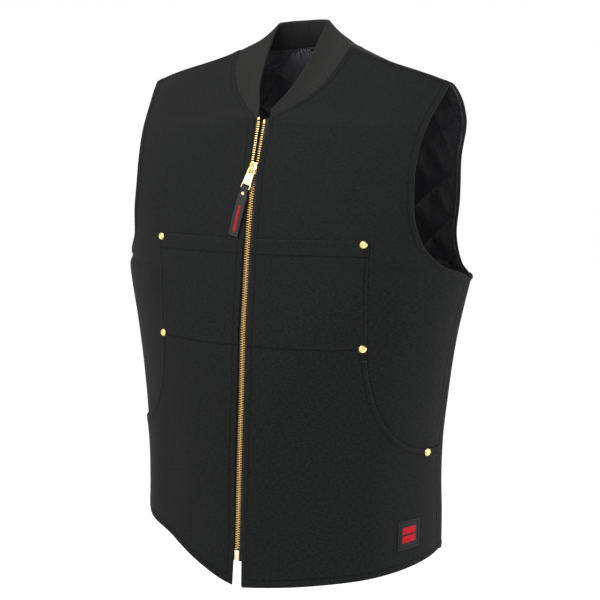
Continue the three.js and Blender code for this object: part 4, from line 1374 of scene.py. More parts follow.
@dataclass
class PocketPanel:
    """Overlay panel of canvas on a front: chest pocket above, curved hand pocket below."""

    panel: PanelSurface
    edge_x: float = 163.0
    right_inward: tuple[float, float] = (23.0, 9.0)
    right_fullness: float = 2.5
    curve_top_z: float = -388.0
    seam_x: float = 222.5
    seam_z: float = -518.0
    fullness: float = 1.92
    top_level: float = 7.14
    top_z: float = -243.0
    hem_level: float = 0.012
    inner: float = 1.42
    thickness: float = 1.25
    fold: float = 0.2
    fold_width: float = 10.5
    edge_radius: float = 1.2
    pitch: float = 4.4
    mouth_gape: float = 1.2
    top_gape: float = 0.6
    band_depth: float = 23.0
    floor_start_x: float = 8.0
    floor_rise: float = 3.5
    floor_dip: float = 1.6
    line_steps: tuple[float, ...] = (-3.2, -1.6, -0.8, 0.0, 0.8, 1.6, 3.2)
    edge_stitch: Topstitch = Topstitch(8.0)
    side_stitch: Topstitch = Topstitch(4.8)
    mouth_stitch: Topstitch = Topstitch(7.1)
    seam_stitches: tuple[Topstitch, ...] = (Topstitch(3.1, depth=0.35), Topstitch(8.9))
    line_stitch: Topstitch = Topstitch(0.0, depth=0.5, pucker=0.25)

    def __post_init__(self) -> None:
        """Works out the outline on the flat cut."""
        panel, flat = self.panel, self.panel.flat
        is_right = panel.side is Side.RIGHT
        low_x = self.edge_x - self.inward(self.curve_top_z)
        angle = np.linspace(0, math.pi / 2, 90)
        power = 2 / (self.right_fullness if is_right else self.fullness)
        xs = lerp(low_x, self.seam_x, 1 - np.maximum(np.cos(angle), 0) ** power)
        zs = lerp(self.curve_top_z, self.seam_z, np.sin(angle) ** power)
        mouth = np.array([panel.place(x, z) for x, z in zip(xs, zs)])
        mouth[-1, 1] = 1.0
        self.mouth = flat(mouth[:, 0], mouth[:, 1])
        tops = np.linspace(mouth[0, 0], self.top_level, 40)
        left = PanelSurface(panel.cut, Side.LEFT, panel.drape) if is_right else panel
        fine = np.linspace(0, 1, 801)
        edge_xs = np.linspace(low_x, self.edge_x - self.inward(self.top_z), 40)
        edge = np.array([np.interp(x, left.at(level, fine)[:, 0], fine) for level, x in zip(tops, edge_xs)])
        self.side = flat(tops, edge)
        self.top = flat(np.full(40, self.top_level), np.linspace(edge[-1], 0, 40))
        downs = np.linspace(self.top_level, self.hem_level, 120)
        self.zip = flat(downs, 0 * downs)
        self.hem = flat(np.full(120, self.hem_level), np.linspace(0, 1, 120))
        ups = np.linspace(self.hem_level, mouth[-1, 0], 60)
        self.seam = flat(ups, 0 * ups + 1)
        share = np.linspace(0, 1, 60)[:, None]
        sag = np.sin(share * math.pi) * np.array([[0.0, self.floor_dip]])
        near = flat(*np.array(panel.place(self.floor_start_x, self.curve_top_z)))
        near[0] = np.interp(-near[1], -self.zip[:, 1], self.zip[:, 0])
        self.floor = lerp(near, self.mouth[0] + np.array([0.0, self.floor_rise]), share) - sag
        level = panel.level_at(np.array([self.top[0, 1] - self.band_depth]))
        self.band = lerp(flat(level, np.zeros(1)), flat(level, np.interp(level, tops, edge)), share)

    def inward(self, z: float) -> float:
        """How far nearer to the zip the side edge of the wearer's right pocket sits at a height."""
        if self.panel.side is Side.LEFT:
            return 0.0
        share = (z - self.curve_top_z) / (self.top_z - self.curve_top_z)
        return float(lerp(*self.right_inward, min(1.0, max(0.0, share))))

    def edges(self, flat: Array) -> dict[str, Edge]:
        """Edges and stitched lines of the panel, by name, at places on the flat cut."""
        spec = {
            "zip": (self.zip, self.fold, self.fold_width, (self.edge_stitch,)),
            "hem": (self.hem, self.fold, self.fold_width, (self.edge_stitch,)),
            "seam": (self.seam, self.fold, self.fold_width, self.seam_stitches),
            "mouth": (self.mouth, self.fold, self.fold_width, (self.mouth_stitch,)),
            "side": (self.side, self.fold, self.fold_width, (self.side_stitch,)),
            "top": (self.top, self.fold, self.band_depth + 0.5, ()),
            "band": (self.band, 0.0, self.fold_width, (self.line_stitch,)),
            "floor": (self.floor, 0.0, self.fold_width, (self.line_stitch,)),
        }
        seed = 700 + 50 * self.panel.side.value
        return {
            name: Edge(*distance_to(flat, path), seed + number, *rest)
            for number, (name, (path, *rest)) in enumerate(spec.items())
        }

    def relief(self, flat: Array) -> Relief:
        """Faces of the panel at places on the flat cut, with its rub and painted shade."""
        edges = self.edges(flat)
        inner = self.inner
        gapes = (
            ("mouth", self.mouth, self.mouth_gape, 0.8, 20.0), ("top", self.top, self.top_gape, 0.6, 16.0),
        )
        for name, path, gape, power, reach in gapes:
            share = np.clip(edges[name].along / lengths_along(path)[-1], 0, 1)
            inner = inner + gape * np.sin(np.pi * share) ** power * hump(edges[name].distance, reach)
        height = self.thickness + sum(edge.height() for edge in edges.values())
        borders = [edges[name].distance for name in ("zip", "hem", "seam", "mouth", "side", "top")]
        share = np.min([rounded(distance, self.edge_radius) for distance in borders], axis=0)
        middle = self.thickness / 2
        wear = np.clip(sum(edge.wear() for edge in edges.values()), -0.6, 1.0)
        # Painted shade: extra darkening along the stitched band and floor lines.
        for name in ("band", "floor"):
            wear = wear - 0.45 * hump(edges[name].distance, 0.9)
        outer = inner + middle + (height - middle) * share
        return Relief(outer, inner + middle * (1 - share), np.clip(wear, -0.6, 1))

    def mesh_points(self, outline: Array) -> Array:
        """Points inside the outline: rows along its edges and stitched lines, then a lattice."""
        step = np.roll(outline, -1, 0) - np.roll(outline, 1, 0)
        inward = unit(np.stack([-step[:, 1], step[:, 0]], 1))
        loop = np.concatenate([outline, outline[:1]])

        def clear(places: Array, gap: float) -> Array:
            """Places inside the outline and further than a gap from it."""
            return places[within(places, outline) & (distance_to(places, loop)[0] > gap)]

        rings = [clear(outline + inward * inset, inset * 0.93) for inset in EDGE_STEPS[1:]]
        low, high = outline.min(0), outline.max(0)
        xs, ys = (np.arange(low[k], high[k], self.pitch) for k in range(2))
        lattice = np.stack(np.meshgrid(xs, ys), -1).reshape(-1, 2)
        rings.append(clear(lattice, EDGE_STEPS[-1] + 0.5 * self.pitch))
        points = np.concatenate(rings)
        lines = []
        for path in (self.band, self.floor):
            points = points[distance_to(points, path)[0] > self.line_steps[-1] + 1.2]
            run = lengths_along(path)
            middle = points_along(spaced(run[-1], self.pitch, EDGE_STEPS, EDGE_STEPS)[1:-1], run, path)
            lines += [middle + np.array([0.0, shift]) for shift in self.line_steps]
        return np.concatenate([points, clear(np.concatenate(lines), 0.05)])

    def build(self) -> None:
        """Makes the panel."""
        word = self.panel.side.word
        parts = [self.hem, self.seam, self.mouth[::-1], self.side, self.top, self.zip]
        outline = np.concatenate([evenly(part, self.pitch)[:-1] for part in parts])
        flat, faces = triangles_of(outline, self.mesh_points(outline))
        sheet = ClothMesh(*self.points(flat), faces[:, ::self.panel.outward], flat)
        piece = sheet.build(f"canvas_pocket_{word}", self.relief(flat))
        finish_piece(piece, CANVAS, Body.VEST, Slot.CANVAS, f"pocket_panel_{word}")

    def points(self, flat: Array) -> tuple[Array, Array]:
        """Points of the shell's inner face under places on the flat cut, and normals."""
        return self.panel.hung(*self.panel.locate(flat))

    def outer_path(self, flat: Array) -> tuple[Array, Array]:
        """Points on the panel's outer face along a path on the flat cut, and normals."""
        points, normals = self.points(flat)
        return points + normals * self.relief(flat).outer[:, None], normals

    @staticmethod
    def beside(path: Array, inset: float, trim: tuple[float, float]) -> Array:
        """Path moved to its left by an inset, with its ends trimmed off.

        Args:
            path: Points of a path.
            inset: Distance to move it.
            trim: Lengths taken off its start and end.

        Returns:
            The moved path.
        """
        fine = evenly(path, 2.0)
        moved = fine + leftward(fine) * inset
        run = lengths_along(moved)
        return moved[(run >= trim[0]) & (run <= run[-1] - trim[1])]

    def stitch(self, run: StitchRun) -> None:
        """Lays the panel's stitching.

        Args:
            run: Stitches to add to.
        """
        lines = [
            (self.zip, self.edge_stitch, (3.0, 5.0)), (self.hem, self.edge_stitch, (5.0, 3.0)),
            *((self.seam, stitch, (8.0, 12.0)) for stitch in self.seam_stitches),
            (self.mouth[::-1], self.mouth_stitch, (8.0, 0.0)), (self.side, self.side_stitch, (0.0, 3.0)),
        ]
        paths = [self.beside(path, stitch.inset, trim) for path, stitch, trim in lines]
        for path in paths + [evenly(self.band, 2.0), evenly(self.floor, 2.0)]:
            run.add(*self.outer_path(path))


@dataclass
class QuiltedLining:
    """Nylon lining quilted to wadding in diamonds, swelled by a cloth simulation."""

    fronts: dict[Side, PanelSurface]
    backs: dict[Side, PanelSurface]
    diamond: float = 50.0
    cells: int = 11
    crease: float = 1.3
    outer: float = -0.75
    least: float = 0.5
    seam_offset: float = -1.7
    loft: float = 2.16
    zip_inset: float = 12.5
    neck_inset: float = 3.0
    armhole_inset: float = 3.0
    seam_inset: float = 0.3
    hem_inset: float = 7.0
    armhole_stitch: float = 6.5
    neck_stitch: float = 4.5
    pillow: float = 6.5
    pucker_pitch: float = 4.8
    pucker_height: float = 0.75
    pucker_rows: tuple[float, ...] = (-3.2, -1.6, 0.0, 1.6, 3.5, 6.0, 9.0)
    most_move: float = 4.5
    frames: int = 20
    pressure: float = 60.0
    growth: float = 0.01

    @property
    def pitch(self) -> float:
        """Spacing of the mesh between two quilted lines."""
        return self.diamond / self.cells

    def half_outline(self, panel: PanelSurface) -> tuple[Array, Array, Array]:
        """Outer edge, shoulder and inner edge of half a lining on the flat cut.

        Args:
            panel: Half panel.

        Returns:
            The outer edge upwards, the shoulder inwards and the inner edge downwards.
        """
        cut = panel.cut
        levels = np.linspace(*panel.level_at(np.array([self.hem_inset, panel.height - 0.8])), 300)
        past_underarm = smoothstep(levels, cut.underarm, cut.underarm + 0.2)
        inset = lerp(self.seam_inset, self.armhole_inset, past_underarm)
        outer = panel.flat(levels, panel.arc_at(levels, panel.width(levels) - inset))
        inner = panel.flat(levels, 0 * levels)
        below_neck = self.zip_inset if cut.is_front else 0.0
        inner[:, 0] += np.where(levels > cut.corner, self.neck_inset, below_neck)
        shoulder = lerp(outer[-1], inner[-1], np.linspace(0, 1, 20)[:, None])
        return outer, shoulder, inner[::-1]

    def lattice(self, outline: Array, kept: Array) -> Array:
        """Points on a lattice along the quilted lines, inside an outline and clear of kept points.

        Args:
            outline: Closed outline on the flat cut.
            kept: Points that the lattice leaves room for.

        Returns:
            The points.
        """
        pitch = self.pitch
        inside = np.linspace(pitch, self.diamond - pitch, self.cells - 1)
        cell = np.concatenate([[0.0, self.crease], inside, [self.diamond - self.crease]])
        reach = int(np.abs(outline).max() * 1.5 / self.diamond) + 1
        steps = np.add.outer(np.arange(-reach, reach + 1) * self.diamond, cell).ravel()
        a, b = np.meshgrid(steps, steps)
        points = np.stack([(a + b).ravel(), (a - b).ravel()], 1) / math.sqrt(2)
        points = points[np.all((points > outline.min(0)) & (points < outline.max(0)), axis=1)]
        gap, _ = distance_to(points, np.concatenate([outline, outline[:1]]))
        room = 0.6 * pitch
        points = points[within(points, outline) & (gap > room)]
        taken = {tuple(c) for c in np.round(kept / room).astype(int)}
        return points[np.array([tuple(c) not in taken for c in np.round(points / room).astype(int)])]

    def on_lines(self, flat: Array) -> Array:
        """Distance of places from the nearest quilted line."""
        sums = (flat[:, 0] + flat[:, 1]) / math.sqrt(2), (flat[:, 0] - flat[:, 1]) / math.sqrt(2)
        counts = [v / self.diamond for v in sums]
        return np.minimum(*(np.abs(c - np.round(c)) * self.diamond for c in counts))

    @staticmethod
    def armhole(panel: PanelSurface, outer: Array) -> Array:
        """Part of a lining's outer edge that runs along the armhole, on the flat cut."""
        underarm = panel.flat(np.array(panel.cut.underarm + 0.1), np.array(1.0))
        return outer[np.searchsorted(outer[:, 1], underarm[1]):]

    def puckers(self, edge: Array, inset: float) -> tuple[Array, Array]:
        """Rows of points along a stitched line beside an edge, and the heights of the puckers there.

        Args:
            edge: Edge on the flat cut, with the lining on its left.
            inset: Distance of the stitched line from the edge.

        Returns:
            Places and heights, row by row.
        """
        fine = evenly(edge, self.pucker_pitch / 4)
        left = leftward(fine)
        number = np.arange(len(fine))
        wave = np.cos(number * math.pi / 2 + 0.9 * wander(number, 37.0, 5))
        wave = self.pucker_height * wave * (0.8 + 0.4 * wander(number, 23.0, 6))
        places = [fine + left * (inset + row) for row in self.pucker_rows]
        heights = [(1 - 0.7 * hump(row, 1.0)) * hump(row, 6.0) * wave for row in self.pucker_rows]
        return np.concatenate(places), np.concatenate(heights)

    def build_front(self, side: Side) -> None:
        """Makes the lining of one front."""
        panel = self.fronts[side]
        outer, shoulder, inner = self.half_outline(panel)
        seams = [(self.armhole(panel, outer), self.armhole_stitch)]
        parts = (outer, shoulder, inner, np.stack([inner[-1], outer[0]]))
        self.make(f"quilt_front_{side.word}", parts, seams, {side: panel}, f"lining_front_{side.word}")

    def build_back(self) -> None:
        """Makes the lining of the back, both halves in one."""
        mirror = np.array([-1.0, 1.0])
        panel = self.backs[Side.LEFT]
        corner_up = panel.flat(np.array(float(panel.cut.corner)), np.array(0.0))[1] - self.neck_inset
        halves = []
        for side in Side:
            outer, shoulder, inner = self.half_outline(self.backs[side])
            neck = inner[(inner[:, 1] > corner_up) & (inner[:, 0] > self.neck_inset + 0.5)]
            halves.append((outer, shoulder, neck, self.armhole(self.backs[side], outer)))
        outer, shoulder, neck, armhole = halves[0]
        far_outer, far_shoulder, far_neck, far_armhole = ((part * mirror)[::-1] for part in halves[1])
        neck = np.concatenate([neck, [[0.0, corner_up]], far_neck])
        parts = (outer, shoulder, neck, far_shoulder, far_outer, np.stack([far_outer[-1], outer[0]]))
        seams = [
            (armhole, self.armhole_stitch), (far_armhole, self.armhole_stitch), (neck, self.neck_stitch),
        ]
        self.make("quilt_back", parts, seams, self.backs, "lining_back")

    @staticmethod
    def ground(flat: Array, panels: dict[Side, PanelSurface]) -> tuple[Array, Array]:
        """Points and normals of the shell's inner face at places on one or both halves."""
        points, normals = np.zeros((2, len(flat), 3))
        for side, panel in panels.items():
            both = len(panels) > 1
            mine = flat[:, 0] * side.value >= 0 if both else np.ones(len(flat), bool)
            places = np.abs(flat[mine]) if both else flat
            points[mine], normals[mine] = panel.hung(*panel.locate(places))
        return points, normals

    def make(
        self, name: str, parts: Sequence[Array], seams: Sequence[tuple[Array, float]],
        panels: dict[Side, PanelSurface], node: str,
    ) -> None:
        """Makes one padded lining from its outline.

        Args:
            name: Name of the piece.
            parts: Parts of its outline on the flat cut, anticlockwise.
            seams: Edges with a stitched, puckered line beside them, and its distance from each.
            panels: Half panels that it lies in.
            node: CAD node that it stands for.
        """
        outline = np.concatenate([evenly(part, self.pitch)[:-1] for part in parts])
        loop = np.concatenate([outline, outline[:1]])
        places, heights = (np.concatenate(part) for part in zip(*(self.puckers(*seam) for seam in seams)))
        clear = within(places, outline) & (distance_to(places, loop)[0] > 0.8)
        places, heights = places[clear], heights[clear]
        flat, faces = triangles_of(outline, np.concatenate([places, self.lattice(outline, places)]))
        points, normals = self.ground(flat, panels)
        sheet = ClothMesh(points, normals, facing(points, faces, normals), flat)
        gaps = [np.abs(distance_to(flat, edge)[0] - inset) for edge, inset in seams]
        from_seam = np.min([self.on_lines(flat), distance_to(flat, loop)[0], *gaps], axis=0)
        inner = self.seam_offset - self.loft * (1 - np.exp(-from_seam / self.pillow))
        known = {tuple(key): height for key, height in zip(np.round(places, 2).tolist(), heights)}
        inner = inner + np.array([known.get(tuple(key), 0.0) for key in np.round(flat, 2).tolist()])
        inner = self.swell(name, sheet, inner, from_seam < 0.25)
        # Painted shade along the quilted lines and seams, on both faces.
        wear = -0.6 * hump(from_seam, 1.0)
        outer = np.full(len(flat), self.outer)
        piece = sheet.build(name, Relief(outer, np.minimum(inner, outer - self.least), wear, wear))
        finish_piece(piece, NYLON, Body.VEST, Slot.QUILT, node)

    def swell(self, name: str, sheet: ClothMesh, start: Array, held: Array) -> Array:
        """Swells the lining between its seams with a cloth simulation.

        Args:
            name: Name of the piece.
            sheet: Sheet that it lies on.
            start: Offsets of the inner face before it swells.
            held: True where it is sewn down.

        Returns:
            Offsets of the swelled inner face. Sideways moves go into the sheet itself.
        """
        before = sheet.base + sheet.normals * start[:, None]
        mesh = new_mesh(name + "_sim", before, sheet.faces[:, ::-1].tolist())
        sim = new_object(mesh.name, mesh)
        pins = sim.vertex_groups.new(name="sewn")
        pins.add(np.flatnonzero(held | sheet.rim).tolist(), 1.0, "REPLACE")
        cloth = sim.modifiers.new("Cloth", "CLOTH")
        nylon = {
            "quality": 5, "mass": 0.004, "air_damping": 2.0, "tension_stiffness": 12.0,
            "compression_stiffness": 4.0, "shear_stiffness": 3.0, "bending_stiffness": 0.1,
            "vertex_group_mass": "sewn", "shrink_min": -self.growth,
            "use_pressure": True, "uniform_pressure_force": self.pressure,
        }
        for setting, value in nylon.items():
            setattr(cloth.settings, setting, value)
        cloth.settings.effector_weights.gravity = 0.0
        cloth.collision_settings.use_collision = False
        cloth.point_cache.frame_start = 1
        cloth.point_cache.frame_end = self.frames
        scene = bpy.context.scene
        for number in range(1, self.frames + 1):
            scene.frame_set(number)
        Bench.only(sim)
        bpy.ops.object.modifier_apply(modifier=cloth.name)
        after = np.empty(len(mesh.vertices) * 3)
        sim.data.vertices.foreach_get("co", after)
        scene.frame_set(1)
        bpy.data.objects.remove(sim)
        move = after.reshape(-1, 3) / MM - before
        size = np.linalg.norm(move, axis=1)
        log.info("%s swells %.2f mm on average, %.2f at most", name, size.mean(), size.max())
        after = before + move * np.minimum(1.0, self.most_move / np.maximum(size, 1e-9))[:, None]
        offset = np.einsum("ij,ij->i", after - sheet.base, sheet.normals)
        sheet.base = after - sheet.normals * offset[:, None]
        return np.where(sheet.rim, start, np.minimum(offset, self.outer - self.least))


@dataclass
class RibCollar:
    """Doubled rib-knit band round the neck, sewn under the canvas edge.

    Each row is a point of the seam and the point of the fold above it, from the zip to the centre back.
    """

    rows: tuple[tuple[Point, Point], ...] = (
        ((11.5, -83, -97.5), (9.2, -79.6, -87)),
        ((30, -68.5, -81.5), (18.5, -63.5, -71)),
        ((46.6, -57, -71), (27, -50, -55)),
        ((67.2, -43, -51), (34, -27, -27)),
        ((78, -26, -28), (37, -10, -5)),
        ((86.7, 0, 0), (39.5, 13, 24)),
        ((80, 25, 3), (38, 24, 35)),
        ((62, 47, 5), (30, 32, 37)),
        ((34, 62, 6), (16.5, 36.5, 38)),
        ((0, 68, 6), (0, 37.5, 38)),
    )
    half_thickness: float = 2.2
    seam_half: float = 0.8
    full_width: float = 14.0
    bow: float = -3.0
    full_bow_width: float = 40.0
    rib_pitch: float = 2.5
    rib_height: float = 0.45
    per_rib: int = 6
    face_rows: int = 16
    fold_rows: int = 7
    tuck: float = 0.05
    girth: float = 90.0

    def build(self) -> None:
        """Makes the band."""
        seam = PointCurve(tuple(r[0] for r in self.rows))
        top = PointCurve(tuple(r[1] for r in self.rows))
        fine = np.linspace(0, len(self.rows) - 1, 1200)
        run = lengths_along(lerp(seam(fine), top(fine), 0.5))
        columns = int(run[-1] / self.rib_pitch) * self.per_rib
        places = np.interp(np.linspace(0, run[-1], columns + 1), run, fine)
        wave = 0.5 + 0.5 * np.cos(2 * math.pi * np.arange(columns + 1) / self.per_rib)
        half = self._half(seam, top, places, wave)
        points = np.concatenate([half, half[-2::-1] * np.array([-1, 1, 1])])
        rows, around = points.shape[:2]
        # The rib wave is stored as a point attribute that paints shade into the grooves between ribs.
        high = np.repeat(np.concatenate([wave, wave[-2::-1]]), around)
        along = np.linspace(-run[-1], run[-1], rows)[:, None]
        flat = np.stack(np.broadcast_arrays(along, np.linspace(0, self.girth, around)), -1)
        i, j = np.meshgrid(np.arange(rows - 1) * around, np.arange(around), indexing="ij")
        k = (j + 1) % around
        faces = np.stack([i + j, i + k, i + around + k, i + around + j], -1).reshape(-1, 4)
        piece = cloth_object("rib_collar", points.reshape(-1, 3), faces, flat.reshape(-1, 2), high)
        self._close(piece)
        finish_piece(piece, RIB, Body.VEST, Slot.RIB, "collar")

    def _half(self, seam: PointCurve, top: PointCurve, places: Array, wave: Array) -> Array:
        """Points round the section of the left half.

        Args:
            seam: Curve of the seam.
            top: Curve of the fold.
            places: Places along both curves.
            wave: How high each place is on a rib.

        Returns:
            Rings of points, one for each place.
        """
        across = np.linspace(-self.tuck, 1.0, self.face_rows + 1)
        low, rise = seam(places), top(places) - seam(places)
        width = np.linalg.norm(rise, axis=1)
        step = 0.02
        along = seam(np.minimum(places + step, places[-1])) - seam(np.maximum(places - step, 0))
        out = unit(np.cross(along, rise))
        out[-1, 0] = 0.0
        out = unit(out)[:, None]
        bow = self.bow * np.minimum(1.0, width / self.full_bow_width)
        arch = bow[:, None] * np.sin(math.pi * np.clip(across, 0, 1))
        spine = low[:, None] + rise[:, None] * across[:, None] + out * arch[..., None]
        limit = np.minimum(1.0, width / self.full_width)[:, None]
        thick = lerp(self.seam_half, self.half_thickness, smoothstep(across, 0.0, 0.3)) * limit
        ends = smoothstep(across, 0.02, 0.12) * (1 - 0.6 * smoothstep(across, 0.97, 1.0))
        thick = (thick + self.rib_height * (wave - 0.5)[:, None] * ends * limit)[..., None]
        up = unit(spine[:, -1] - spine[:, -2])[:, None]
        angles = np.linspace(0, math.pi, self.fold_rows + 2)[1:-1, None]
        fold = spine[:, -1:] + thick[:, -1:] * (np.cos(angles) * out + np.sin(angles) * up)
        points = np.concatenate([spine + out * thick, fold, (spine - out * thick)[:, ::-1]], 1)
        points[-1, :, 0] = 0.0
        return points

    @staticmethod
    def _close(piece: bpy.types.Object) -> None:
        """Closes the two ends of the band and turns its faces outwards."""
        work = bmesh.new()
        work.from_mesh(piece.data)
        open_edges = [e for e in work.edges if len(e.link_faces) == 1]
        bmesh.ops.holes_fill(work, edges=open_edges, sides=0)
        bmesh.ops.recalc_face_normals(work, faces=work.faces)
        bmesh.ops.triangulate(work, faces=[f for f in work.faces if len(f.verts) > 4])
        work.to_mesh(piece.data)
        work.free()
        piece.data.shade_smooth()


class Bench:
    """New hard pieces, made with Blender's own operators as by hand, in millimetres."""

    @staticmethod
    def clear() -> None:
        """Deselects everything."""
        bpy.ops.object.select_all(action="DESELECT")

    @staticmethod
    def only(piece: bpy.types.Object) -> None:
        """Selects one piece alone and makes it the active one."""
        Bench.clear()
        piece.select_set(True)
        bpy.context.view_layer.objects.active = piece

    @staticmethod
    @contextmanager
    def editing() -> Iterator[None]:
        """Edit mode of the active piece for a with block."""
        bpy.ops.object.mode_set(mode="EDIT")
        yield
        bpy.ops.object.mode_set(mode="OBJECT")

    @staticmethod
    def cube(name: str, size: Point, centre: Point) -> bpy.types.Object:
        """Adds a cube of a size at a place, with the place in its mesh."""
        Bench.clear()
        bpy.ops.mesh.primitive_cube_add(size=1.0, location=[c * MM for c in centre])
        piece = bpy.context.object
        piece.name = piece.data.name = name
        piece.scale = [s * MM for s in size]
        bpy.ops.object.transform_apply(location=True, rotation=True, scale=True)
        return piece

    @staticmethod
    def pick(piece: bpy.types.Object, kind: str, chosen: Callable[[Vector, Vector], bool]) -> None:
        """Selects the faces or edges of a piece in edit mode by their place and normal.

        Args:
            piece: Piece in edit mode.
            kind: EDGE or FACE.
            chosen: Test of a place in millimetres and a normal.
        """
        bpy.ops.mesh.select_mode(type=kind)
        bpy.ops.mesh.select_all(action="DESELECT")
        work = bmesh.from_edit_mesh(piece.data)
        for item in work.edges if kind == "EDGE" else work.faces:
            if kind == "EDGE":
                place, normal = (item.verts[0].co + item.verts[1].co) / 2, item.verts[0].normal
            else:
                place, normal = item.calc_center_median(), item.normal
            if chosen(place / MM, normal):
                item.select_set(True)
        work.select_flush_mode()
        bmesh.update_edit_mesh(piece.data)

    @staticmethod
    def push(move: Point) -> None:
        """Extrudes what is selected by a move."""
        bpy.ops.mesh.extrude_region_move(TRANSFORM_OT_translate={"value": [m * MM for m in move]})

    @staticmethod
    def bevel(piece: bpy.types.Object, width: float, segments: int, angle: float = 30.0) -> None:
        """Rounds the sharp edges of a piece with a Bevel modifier, which is applied."""
        Bench.only(piece)
        modifier = piece.modifiers.new("Rounded", "BEVEL")
        modifier.width = width * MM
        modifier.segments = segments
        modifier.limit_method = "ANGLE"
        modifier.angle_limit = math.radians(angle)
        bpy.ops.object.modifier_apply(modifier=modifier.name)

    @staticmethod
    def smooth(piece: bpy.types.Object, angle: float) -> None:
        """Shades a piece smooth across angles up to a limit."""
        Bench.only(piece)
        bpy.ops.object.shade_smooth_by_angle(angle=math.radians(angle))

    @staticmethod
    def close(gap: float) -> None:
        """Merges the doubles of the piece in edit mode and turns its faces outwards."""
        bpy.ops.mesh.select_all(action="SELECT")
        bpy.ops.mesh.remove_doubles(threshold=gap * MM)
        bpy.ops.mesh.normals_make_consistent(inside=False)

    @staticmethod
    def spin(name: str, profile: Sequence[tuple[float, float]], steps: int) -> bpy.types.Object:
        """Draws a profile by extruding a point and spins it about Z.

        Args:
            name: Name of the piece.
            profile: Distances from the axis and heights, which start and end on the axis.
            steps: Faces round the piece.

        Returns:
            The piece, with its axis at the origin.
        """
        Bench.clear()
        first = profile[0]
        bpy.ops.mesh.primitive_plane_add(size=MM, location=(first[0] * MM, 0, first[1] * MM))
        piece = bpy.context.object
        piece.name = piece.data.name = name
        bpy.ops.object.transform_apply(location=True, rotation=True, scale=True)
        with Bench.editing():
            bpy.ops.mesh.select_mode(type="VERT")
            bpy.ops.mesh.select_all(action="SELECT")
            bpy.ops.mesh.merge(type="CENTER")
            for (r0, z0), (r1, z1) in zip(profile, profile[1:]):
                Bench.push((r1 - r0, 0.0, z1 - z0))
            bpy.ops.mesh.select_all(action="SELECT")
            bpy.ops.mesh.spin(steps=steps, angle=2 * math.pi, center=(0, 0, 0), axis=(0, 0, 1))
            Bench.close(0.004)
        return piece

    @staticmethod
    def put(piece: bpy.types.Object, across: Array, up: Array, out: Array, origin: Array) -> None:
        """Moves a piece's mesh so that its X, Y and Z lie along three directions from an origin in mm."""
        columns = np.stack([across, up, out, origin * MM], 1)
        piece.data.transform(Matrix([*columns.tolist(), (0, 0, 0, 1)]))
        piece.data.update()


@dataclass
class PocketRivets:
    """Capped brass rivets at the stress points of the pockets.

    Each place has a name, X and Z on the wearer's left, and whether it follows the pocket's side edge.
    """

    pockets: dict[Side, PocketPanel]
    places: tuple[tuple[str, float, float, bool], ...] = (
        ("chest", 156.4, -253.3, True), ("pocket", 158.2, -383.7, True), ("side", 218.2, -522.0, False),
    )
    profile: tuple[tuple[float, float], ...] = (
        (0, 1.6), (0.9, 1.57), (1.3, 1.75), (1.7, 2.2), (2.1, 2.4), (2.5, 2.44), (2.8, 2.2), (2.95, 2.2),
        (3.15, 2.4), (3.7, 2.2), (4.15, 1.85), (4.42, 1.4), (4.55, 1.0), (4.8, 0.86), (4.98, 0.6),
        (5.0, 0.3), (4.9, -0.7), (0, -0.7),
    )
    steps: int = 36
    seat: float = 3.1

    def build(self) -> None:
        """Makes the six rivets, each a copy of one with its own mesh."""
        model = Bench.spin("rivet_model", self.profile, self.steps)
        Bench.smooth(model, 50.0)
        for side, pocket in self.pockets.items():
            for name, x, z, beside_pocket in self.places:
                piece = new_object(f"rivet_cap_{name}_{side.word}", model.data.copy())
                level, arc = pocket.panel.place(x - pocket.inward(z) * beside_pocket, z)
                point, normal = pocket.panel.hung(np.array(level), np.array(arc))
                across = unit(np.cross(np.array([0.0, 0.0, 1.0]), normal))
                Bench.put(piece, across, np.cross(normal, across), normal, point + normal * self.seat)
                finish_piece(piece, PALE_BRASS, Body.VEST, Slot.BRASS, f"rivet_{name}_{side.word}")
        bpy.data.objects.remove(model)


